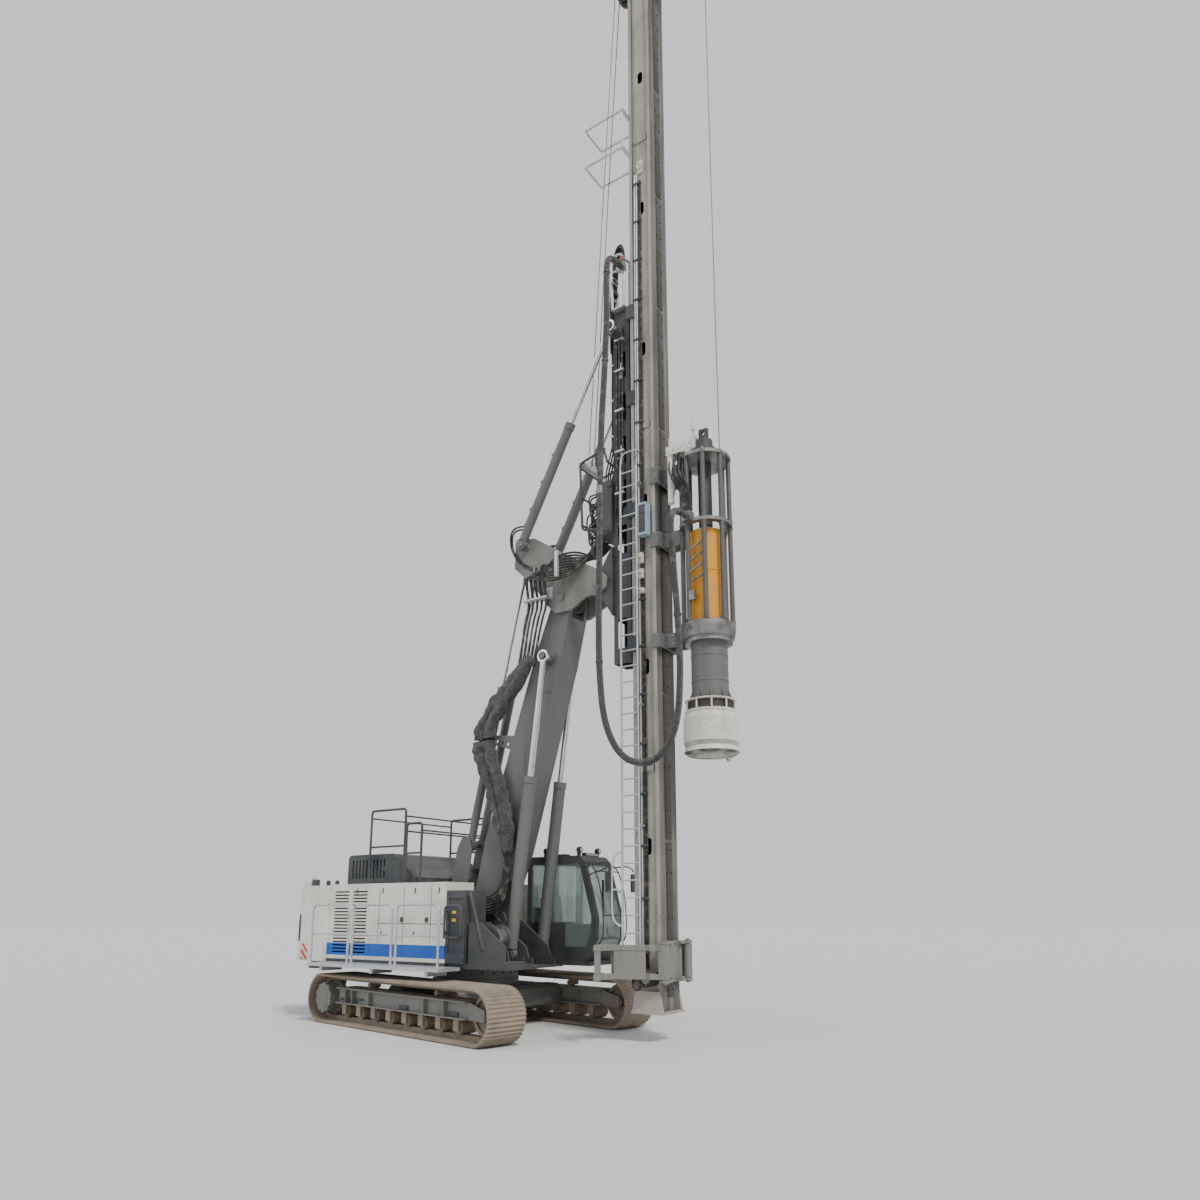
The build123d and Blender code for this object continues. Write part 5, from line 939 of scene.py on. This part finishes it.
def make_cushion_ring():
    """Two pale bands with posts between them round the cushion over the helmet, and the drum's gussets."""
    axis = at(HAMMER_X, 0, 0)
    backing = Work()
    backing.turned(axis + UP * 5.636, axis + UP * 5.81, ((0, 0.385), (0.001, 0.404), (0.16, 0.404), (0.164, 0.385)),
                   64)
    backing.piece("cushion_wrap", "worn_steel", "hammer")
    ring = Work()
    for low, high in ((5.584, 5.638), (5.800, 5.826)):
        tall = high - low
        ring.turned(axis + UP * low, axis + UP * high,
                    ((0, 0.37), (0, 0.452), (0.004, 0.458), (tall - 0.004, 0.458), (tall, 0.452), (tall, 0.37)), 64)
    gussets = Work()
    for index in range(10):
        turn = Matrix.Rotation(2 * pi * (index + 0.3) / 10, 3, "Z")
        ring.bar(axis + turn @ Vector((0.436, 0, 5.63)), axis + turn @ Vector((0.436, 0, 5.81)), 0.017, 8)
        corners = [axis + turn @ Vector(corner) for side in (-0.007, 0.007)
                   for corner in ((0.335, side, 5.846), (0.40, side, 5.846), (0.335, side, 5.99))]
        verts = [gussets.bm.verts.new(corner) for corner in corners]
        for face in ((0, 1, 2), (3, 5, 4), (0, 3, 4, 1), (1, 4, 5, 2), (2, 5, 3, 0)):
            gussets.bm.faces.new([verts[number] for number in face])
    ring.piece("cushion_ring", "pale_paint", "hammer")
    gussets.piece("drum_gussets", "machine_grey", "hammer")


def make_bar_sleeves():
    """Thick tubes over the cage's bars, between its flanges, with collars at their ends."""
    work = Work()
    for index in range(8):
        turn = 2 * pi * (index + 0.5) / 8
        for low, high in ((7.235, 9.095), (9.165, 10.495)):
            foot = at(HAMMER_X + BAR_CIRCLE * sin(turn), -BAR_CIRCLE * cos(turn), low)
            run = high - low
            work.turned(foot, foot + UP * run, ((0, 0.056), (0.05, 0.056), (0.055, 0.045), (run - 0.055, 0.045),
                                                (run - 0.05, 0.056), (run, 0.056)), 24)
    work.piece("bar_sleeves", "cage_steel", "hammer")


def make_sledge_bolts():
    """Bolts on the arms that hold the hammer to the mast."""
    work = Work()
    for z, height in ((6.91, 0.26), (8.88, 0.28), (10.17, 0.33)):
        for side in (-1, 1):
            for x in (4.60, 4.74):
                for share in (0.2, 0.8):
                    place = at(x, side * 0.175, z + height * share)
                    work.bar(place, place + Vector((0, side * 0.016, 0)), 0.018, 6)
            for share in (0.2, 0.8):
                place = at(4.50, side * 0.341, z + height * share)
                work.bar(place, place + Vector((0, side * 0.014, 0)), 0.016, 6)
    work.piece("sledge_bolts", "bar_steel", "hammer")


# Fittings of the uppercarriage and cab

HOUSE_SIDE = 1.40
# Degrees by which the undercarriage stands turned under the uppercarriage
TRACK_TURN = -10


def make_latches():
    """Latches, hinges and seams of the housing's doors, and the caps on its shoulders."""
    work = Work()
    for side in (-1, 1):
        for x in (-0.70, -0.03):
            face = side * (HOUSE_SIDE + 0.007)
            work.box(at(x - 0.045, face - 0.0065, 1.975), at(x + 0.045, face + 0.0065, 2.065), 0.006)
            tongue = face + side * 0.006
            work.box(at(x - 0.03, tongue - 0.005, 1.99), at(x - 0.005, tongue + 0.005, 2.05), 0.003)
        for x in (-2.02, -1.26, -0.36, 0.28):
            for z in (1.70, 2.52):
                face = side * (HOUSE_SIDE + 0.006)
                work.bar(at(x, face, z), at(x, face, z + 0.10), 0.012, 12)
        work.turned(at(-1.58, side * 1.08, 3.02), at(-1.58, side * 1.10, 3.02),
                    ((0, 0.05), (0.014, 0.05), (0.017, 0.03)), 28)
    work.piece("latches", "dark_grey", "upper")
    seams = Work()
    for side in (-1, 1):
        y0, y1 = sorted((side * (HOUSE_SIDE - 0.004), side * (HOUSE_SIDE + 0.0015)))
        for x in (-1.355, -0.665, 0.069):
            seams.box(at(x - 0.006, y0, 1.58), at(x + 0.006, y1, 2.66))
        seams.box(at(-1.355, y0, 1.936), at(0.44, y1, 1.948))
    seams.piece("door_seams", "hose_rubber", "upper")


def make_weight_trim():
    """Striped plates, rings, posts and lifting eyes of the counterweight."""
    plates, posts, work = Work(), Work(), Work()
    for side in (-1, 1):
        y = side * 1.5005
        y0, y1 = sorted((y, y + side * 0.004))
        plates.box(at(-3.54, y0, 1.20), at(-3.35, y1, 1.52), 0.0015)
    plates.piece("striped_plates", "striped_plate", "upper")
    rings = []
    for side in (-1, 1):
        centre, along = at(-3.70, side * 1.452, 1.84), Vector((-0.857, -side * 0.514, 0)) * 0.07
        rings.append([centre + along * cos(pi * step / 8) + UP * (0.27 * sin(pi * step / 8)) for step in range(17)])
    hoses("weight_rings", rings, 0.014, "dark_grey", "upper")
    for side in (-1, 1):
        y0, y1 = sorted((side * 1.16, side * 1.33))
        posts.box(at(-3.80, y0, 2.702), at(-3.62, y1, 2.90), 0.02)
        work.box(at(-3.60, y0 + 0.03, 2.702), at(-3.46, y1 - 0.03, 2.84), 0.015)
        work.box(at(-3.805, y0 + 0.07, 2.74), at(-3.79, y1 - 0.07, 2.88), 0.004)
    posts.piece("weight_posts", "panel_white", "upper")
    for side in (-1, 1):
        for x in (-3.30, -3.02):
            y0, y1 = side * 1.1 - 0.02, side * 1.1 + 0.02
            work.box(at(x - 0.05, y0, 2.70), at(x + 0.05, y1, 2.74), 0.006)
            work.turned(at(x, y0, 2.77), at(x, y1, 2.77), ((0, 0.03), (0, 0.05), (0.04, 0.05), (0.04, 0.03)), 24)
    work.piece("lifting_eyes", "dark_grey", "upper")


def make_cab_lamps():
    """Lamps and beacon on the cab's roof."""
    lamps = Work()
    for x, y in ((1.10, 0.80), (1.95, 0.78), (1.95, 1.42)):
        lamps.box(at(x - 0.03, y - 0.03, 3.26), at(x + 0.03, y + 0.03, 3.33), 0.006)
        lamps.turned(at(x - 0.04, y, 3.38), at(x + 0.05, y, 3.38),
                     ((0, 0.04), (0.02, 0.062), (0.09, 0.066), (0.09, 0.06), (0.075, 0.05)), 28)
    lamps.box(at(1.93, 0.90, 3.262), at(2.02, 1.32, 3.33), 0.012)
    lamps.box(at(1.40, 0.66, 3.262), at(1.72, 0.80, 3.30), 0.012)
    lamps.piece("roof_lamps", "dark_grey", "upper")
    lenses = Work()
    for index in range(5):
        y = 0.94 + 0.085 * index
        lenses.box(at(2.018, y, 3.275), at(2.026, y + 0.065, 3.32), 0.004)
    for y in (0.78, 1.42):
        lenses.bar(at(2.02, y, 3.38), at(2.028, y, 3.38), 0.052, 24)
    lenses.piece("lamp_lenses", "lamp_lens", "upper")
    beacon = Work()
    beacon.turned(at(1.22, 0.80, 3.26), at(1.22, 0.80, 3.42),
                  ((0, 0.05), (0.03, 0.055), (0.035, 0.048), (0.11, 0.046), (0.135, 0.03)), 28)
    beacon.piece("beacon", "beacon_amber", "upper")


def make_cab_fittings():
    """Mirrors on their tube brackets, roof lamps, front rails, wiper, and the pane and seal of the door."""
    hoses("mirror_bracket", [
        [at(2.16, 0.62, 3.02), at(2.40, 0.52, 3.06), at(2.86, 0.34, 3.10), at(2.98, 0.30, 3.06), at(3.00, 0.29, 2.9)],
        [at(2.28, 0.63, 2.86), at(2.45, 0.52, 2.90), at(2.86, 0.36, 2.96), at(2.94, 0.32, 3.02)],
        [at(2.10, 1.58, 3.02), at(2.30, 1.68, 3.06), at(2.52, 1.80, 3.08), at(2.58, 1.84, 2.96)]],
          0.014, "dark_grey", "upper")
    mirrors = Work()
    for x, y in ((3.0, 0.29), (2.58, 1.84)):
        mirrors.box(at(x - 0.03, y - 0.10, 2.55), at(x + 0.02, y + 0.10, 2.92), 0.018)
    mirrors.piece("mirrors", "dark_grey", "upper")
    make_cab_lamps()
    rails = []
    for y in (0.70, 1.52):
        rails.append([at(2.24, y, 3.12), at(2.40, y, 3.02), at(2.56, y, 2.5), at(2.60, y, 2.0), at(2.58, y, 1.62),
                      at(2.48, y, 1.56)])
    for z, x in ((2.95, 2.42), (2.55, 2.545), (2.10, 2.595), (1.66, 2.58)):
        rails.append([at(x, 0.70, z), at(x + 0.015, 1.1, z), at(x, 1.52, z)])
    hoses("cab_front_rails", rails, 0.012, "dark_grey", "upper")
    wiper = Work()
    wiper.bar(at(2.47, 1.05, 1.72), at(2.43, 0.95, 2.45), 0.007, 8)
    wiper.box(at(2.40, 0.93, 2.05), at(2.445, 0.95, 2.78), 0.004)
    wiper.piece("wiper", "hose_rubber", "upper")
    pane = Work()
    pane.box(at(1.478, 1.5535, 1.898), at(2.072, 1.5615, 3.062), 0.001)
    pane.piece("door_pane", "cab_glass", "cab_door")
    seal = Work()
    for x0, z0, x1, z1 in ((1.48, 1.90, 2.07, 1.922), (1.48, 3.038, 2.07, 3.06), (1.48, 1.92, 1.502, 3.04),
                           (2.048, 1.92, 2.07, 3.04)):
        seal.box(at(x0, 1.547, z0), at(x1, 1.568, z1), 0.004)
    seal.piece("door_seal", "hose_rubber", "cab_door")


def make_panel_fittings():
    """Blank plates and bolts on the service panel."""
    plates = Work()
    for z in (2.13, 1.99):
        plates.box(at(0.58, -1.368, z), at(0.68, -1.3595, z + 0.055), 0.003)
    plates.piece("blank_plates", "plate_yellow", "upper")
    work = Work()
    for x in (0.46, 0.88):
        for z in (1.36, 1.80, 2.24):
            work.bar(at(x, -1.379, z), at(x, -1.392, z), 0.014, 6)
    work.piece("panel_bolts", "bar_steel", "upper")


def make_ring_bolts():
    """Bolts of the slewing ring."""
    work = Work()
    for index in range(36):
        turn = 2 * pi * index / 36
        place = at(0.79 * cos(turn), 0.79 * sin(turn), 1.075)
        work.bar(place, place - UP * 0.03, 0.02, 6)
    work.piece("ring_bolts", "bar_steel", "undercarriage")


def make_track_fittings():
    """Rod and step blocks on each track frame."""
    turn = Matrix.Rotation(radians(TRACK_TURN), 4, "Z")
    work = Work()
    for side in (-1, 1):
        for x in (-1.55, 0.2, 1.7):
            y = side * 1.802
            work.box((x - 0.14, y - 0.012, 0.42), (x + 0.14, y + 0.012, 0.50), 0.006)
        work.bar((-2.0, side * 1.81, 0.47), (-1.2, side * 1.81, 0.50), 0.017, 14)
    bmesh.ops.transform(work.bm, matrix=Matrix.Translation((SLEW_X, 0, 0)) @ turn, verts=work.bm.verts)
    work.piece("frame_steps", "dark_grey", "undercarriage")


# Camera, floor and light

CAMERA_PLACE = (11.29, -13.70, 2.2)
CAMERA_LOOK = (-0.562, 0.827)
CAMERA_LENS = 26.4
# How far the horizon lies below the picture's middle, and the part of it that the lens shift takes, both as
# shares of the picture. The camera's tilt takes the rest.
HORIZON = 310 / 1200
SHIFT = 0.10


def set_camera():
    """The camera at a standing place before the rig's right front, looking up along the mast."""
    camera = bpy.data.objects.new("camera", bpy.data.cameras.new("camera"))
    bpy.context.scene.collection.objects.link(camera)
    camera.data.lens = CAMERA_LENS
    camera.data.sensor_width = 36
    camera.data.shift_y = SHIFT
    camera.data.clip_end = 400
    tilt = atan((HORIZON - SHIFT) * camera.data.sensor_width / CAMERA_LENS)
    x, y = (c * cos(tilt) for c in CAMERA_LOOK)
    camera.location = CAMERA_PLACE
    camera.rotation_mode = "QUATERNION"
    camera.rotation_quaternion = Vector((x, y, sin(tilt))).to_track_quat("-Z", "Y")
    bpy.context.scene.camera = camera


def pale_floor():
    """A wide pale floor. The world behind it is nearly the same shade."""
    bm = bmesh.new()
    bmesh.ops.create_circle(bm, cap_ends=True, segments=96, radius=140)
    mesh = bpy.data.meshes.new("floor")
    bm.to_mesh(mesh)
    bm.free()
    floor = bpy.data.objects.new("floor", mesh)
    bpy.context.scene.collection.objects.link(floor)
    f = Finish("floor_finish")
    f.set(Base_Color=(0.72, 0.72, 0.70, 1), Roughness=0.9)
    floor.data.materials.append(f.material)


def soft_world(strength):
    """Even light from all round, behind a pale backdrop that only the camera, glass and gloss see."""
    world = bpy.data.worlds.new("studio")
    bpy.context.scene.world = world
    world.use_nodes = True
    nodes, links = world.node_tree.nodes, world.node_tree.links
    nodes.clear()
    out = nodes.new("ShaderNodeOutputWorld")
    light, shown, mixed = (nodes.new(kind) for kind in (
        "ShaderNodeBackground", "ShaderNodeBackground", "ShaderNodeMixShader"))
    light.inputs["Color"].default_value = (0.86, 0.92, 1.0, 1)
    light.inputs["Strength"].default_value = strength
    shown.inputs["Color"].default_value = (0.86, 0.89, 0.92, 1)
    rays = nodes.new("ShaderNodeLightPath").outputs
    seen = rays["Is Camera Ray"]
    for other in ("Is Glossy Ray", "Is Transmission Ray"):
        both = nodes.new("ShaderNodeMath")
        both.operation = "MAXIMUM"
        links.new(seen, both.inputs[0])
        links.new(rays[other], both.inputs[1])
        seen = both.outputs[0]
    links.new(seen, mixed.inputs["Fac"])
    links.new(light.outputs[0], mixed.inputs[1])
    links.new(shown.outputs[0], mixed.inputs[2])
    links.new(mixed.outputs[0], out.inputs["Surface"])


def sun(name, azimuth, elevation, strength, angle, colour):
    """A sun over the rig, placed by its compass angle and height in degrees."""
    lamp = bpy.data.objects.new(name, bpy.data.lights.new(name, "SUN"))
    bpy.context.scene.collection.objects.link(lamp)
    lamp.data.energy = strength
    lamp.data.angle = radians(angle)
    lamp.data.color = colour
    a, e = radians(azimuth), radians(elevation)
    towards = Vector((sin(a) * cos(e), -cos(a) * cos(e), sin(e)))
    lamp.rotation_mode = "QUATERNION"
    lamp.rotation_quaternion = towards.to_track_quat("Z", "Y")


# The add-on

class RIG_PG_paints(bpy.types.PropertyGroup):
    """Colours of the rig's paints."""
    machine: bpy.props.FloatVectorProperty(
        name="Machine", description="Boom, deck and hammer drum", subtype="COLOR", min=0, max=1,
        default=(0.125, 0.128, 0.12))
    dark: bpy.props.FloatVectorProperty(
        name="Dark parts", description="Hood, cab, mirrors and small fittings", subtype="COLOR", min=0, max=1,
        default=(0.035, 0.038, 0.042))
    dusty: bpy.props.FloatVectorProperty(
        name="Dusty parts", description="Track frames, rocker and pile guide", subtype="COLOR", min=0, max=1,
        default=(0.21, 0.205, 0.185))
    panels: bpy.props.FloatVectorProperty(
        name="Panels", description="Engine housing, counterweight and helmet", subtype="COLOR", min=0, max=1,
        default=(0.80, 0.77, 0.70))
    band: bpy.props.FloatVectorProperty(
        name="Band", description="Band along the foot of the housing", subtype="COLOR", min=0, max=1,
        default=(0.006, 0.10, 0.50))
    mast: bpy.props.FloatVectorProperty(
        name="Mast", description="Leader and its head", subtype="COLOR", min=0, max=1, default=(0.40, 0.36, 0.31))
    ram: bpy.props.FloatVectorProperty(
        name="Ram", description="Drop weight inside the hammer's cage", subtype="COLOR", min=0, max=1,
        default=(0.86, 0.36, 0.012))
    pale: bpy.props.FloatVectorProperty(
        name="Pale parts", description="Valve blocks, cushion ring, lug and depth scale", subtype="COLOR", min=0,
        max=1, default=(0.72, 0.68, 0.58))
    cabinet: bpy.props.FloatVectorProperty(
        name="Cabinet", description="Small cabinet on the mast", subtype="COLOR", min=0, max=1,
        default=(0.36, 0.50, 0.58))


class RIG_PG_sizes(bpy.types.PropertyGroup):
    """Sizes of the soft and small pieces."""
    hose: bpy.props.FloatProperty(
        name="Hose radius", description="Half the thickness of a single pressure hose", unit="LENGTH",
        default=0.021, min=0.008, max=0.03)
    sleeve: bpy.props.FloatProperty(
        name="Sleeve half width", description="Half the width of the cloth sleeves on the boom", unit="LENGTH",
        default=0.15, min=0.06, max=0.18)
    rope: bpy.props.FloatProperty(
        name="Rope radius", description="Half the thickness of the hoist ropes", unit="LENGTH", default=0.011,
        min=0.006, max=0.02)


class RIG_PG_stage(bpy.types.PropertyGroup):
    """Light of the stage."""
    sun: bpy.props.FloatProperty(
        name="Sun", description="Strength of the key light", default=2.6, min=0, max=6)
    sky: bpy.props.FloatProperty(
        name="Sky", description="Strength of the light from all round", default=0.62, min=0, max=3)


class RIG_OT_stage(bpy.types.Operator):
    """Set the floor, the soft light and the camera"""
    bl_idname = "rig.stage"
    bl_label = "Floor, light and camera"

    def execute(self, context):
        set_camera()
        pale_floor()
        soft_world(context.scene.rig_stage.sky)
        sun("key_sun", 62, 48, context.scene.rig_stage.sun, 12, (1.0, 0.97, 0.92))
        sun("fill_sun", -35, 30, 0.5, 40, (0.9, 0.95, 1.0))
        return {"FINISHED"}


class RIG_OT_paint(bpy.types.Operator):
    """Give every piece of the frame its paint, steel, rubber or glass"""
    bl_idname = "rig.paint"
    bl_label = "Paint the frame"

    def execute(self, context):
        paint_the_frame()
        return {"FINISHED"}


class RIG_OT_hammer_hoses(bpy.types.Operator):
    """Hang the sleeved hose bundle between the saddle and the hammer, with the single hoses at both ends"""
    bl_idname = "rig.hammer_hoses"
    bl_label = "Hammer hoses"

    def execute(self, context):
        make_hammer_hoses()
        make_saddle_hoses()
        make_manifold_hoses()
        return {"FINISHED"}


class RIG_OT_boom_hoses(bpy.types.Operator):
    """Lead the hoses from the deck along the boom to the valve block and up the spine"""
    bl_idname = "rig.boom_hoses"
    bl_label = "Boom and spine hoses"

    def execute(self, context):
        make_boom_sleeves()
        make_deck_hoses()
        make_head_hoses()
        make_valve_hoses()
        make_spine_hoses()
        make_tilt_hoses()
        return {"FINISHED"}


class RIG_OT_ropes(bpy.types.Operator):
    """Reeve the ropes over the head's wheels"""
    bl_idname = "rig.ropes"
    bl_label = "Ropes"

    def execute(self, context):
        make_ropes()
        make_side_wheel()
        return {"FINISHED"}


class RIG_OT_mast_fittings(bpy.types.Operator):
    """Fit the pipes, scale, strips, valves and hand rails of the mast"""
    bl_idname = "rig.mast_fittings"
    bl_label = "Mast fittings"

    def execute(self, context):
        make_mast_pipes()
        make_mast_strips()
        make_mast_valves()
        make_foot_hoses()
        return {"FINISHED"}


class RIG_OT_hammer_fittings(bpy.types.Operator):
    """Fit the nuts, bolts, bar sleeves and bands of the hammer"""
    bl_idname = "rig.hammer_fittings"
    bl_label = "Hammer fittings"

    def execute(self, context):
        make_hammer_bolts()
        make_bar_sleeves()
        make_cushion_ring()
        make_sledge_bolts()
        return {"FINISHED"}


class RIG_OT_house_fittings(bpy.types.Operator):
    """Fit the latches, striped plates, lifting eyes, panel bolts and track steps"""
    bl_idname = "rig.house_fittings"
    bl_label = "Housing and track fittings"

    def execute(self, context):
        make_latches()
        make_weight_trim()
        make_panel_fittings()
        make_ring_bolts()
        make_track_fittings()
        return {"FINISHED"}


class RIG_OT_cab_fittings(bpy.types.Operator):
    """Fit the mirrors, lamps, beacon, front rails, wiper and door pane of the cab"""
    bl_idname = "rig.cab_fittings"
    bl_label = "Cab fittings"

    def execute(self, context):
        make_cab_fittings()
        return {"FINISHED"}


STEPS = (RIG_OT_stage, RIG_OT_paint, RIG_OT_hammer_hoses, RIG_OT_boom_hoses, RIG_OT_ropes, RIG_OT_mast_fittings,
         RIG_OT_hammer_fittings, RIG_OT_house_fittings, RIG_OT_cab_fittings)
GROUPS = {"rig_paints": RIG_PG_paints, "rig_sizes": RIG_PG_sizes, "rig_stage": RIG_PG_stage}


class RIG_PT_panel(bpy.types.Panel):
    bl_label = "Foundation rig"
    bl_space_type = "VIEW_3D"
    bl_region_type = "UI"
    bl_category = "Rig"

    def draw(self, context):
        for group, kind in GROUPS.items():
            for name in kind.__annotations__:
                self.layout.prop(getattr(context.scene, group), name)
        for step in STEPS:
            self.layout.operator(step.bl_idname)


CLASSES = (*GROUPS.values(), *STEPS, RIG_PT_panel)


def register():
    for made in CLASSES:
        bpy.utils.register_class(made)
    for group, kind in GROUPS.items():
        setattr(bpy.types.Scene, group, bpy.props.PointerProperty(type=kind))


def unregister():
    for group in GROUPS:
        delattr(bpy.types.Scene, group)
    for made in reversed(CLASSES):
        bpy.utils.unregister_class(made)


def main():
    register()
    for step in STEPS:
        group, name = step.bl_idname.split(".")
        getattr(getattr(bpy.ops, group), name)()


if __name__ == "__main__":
    main()
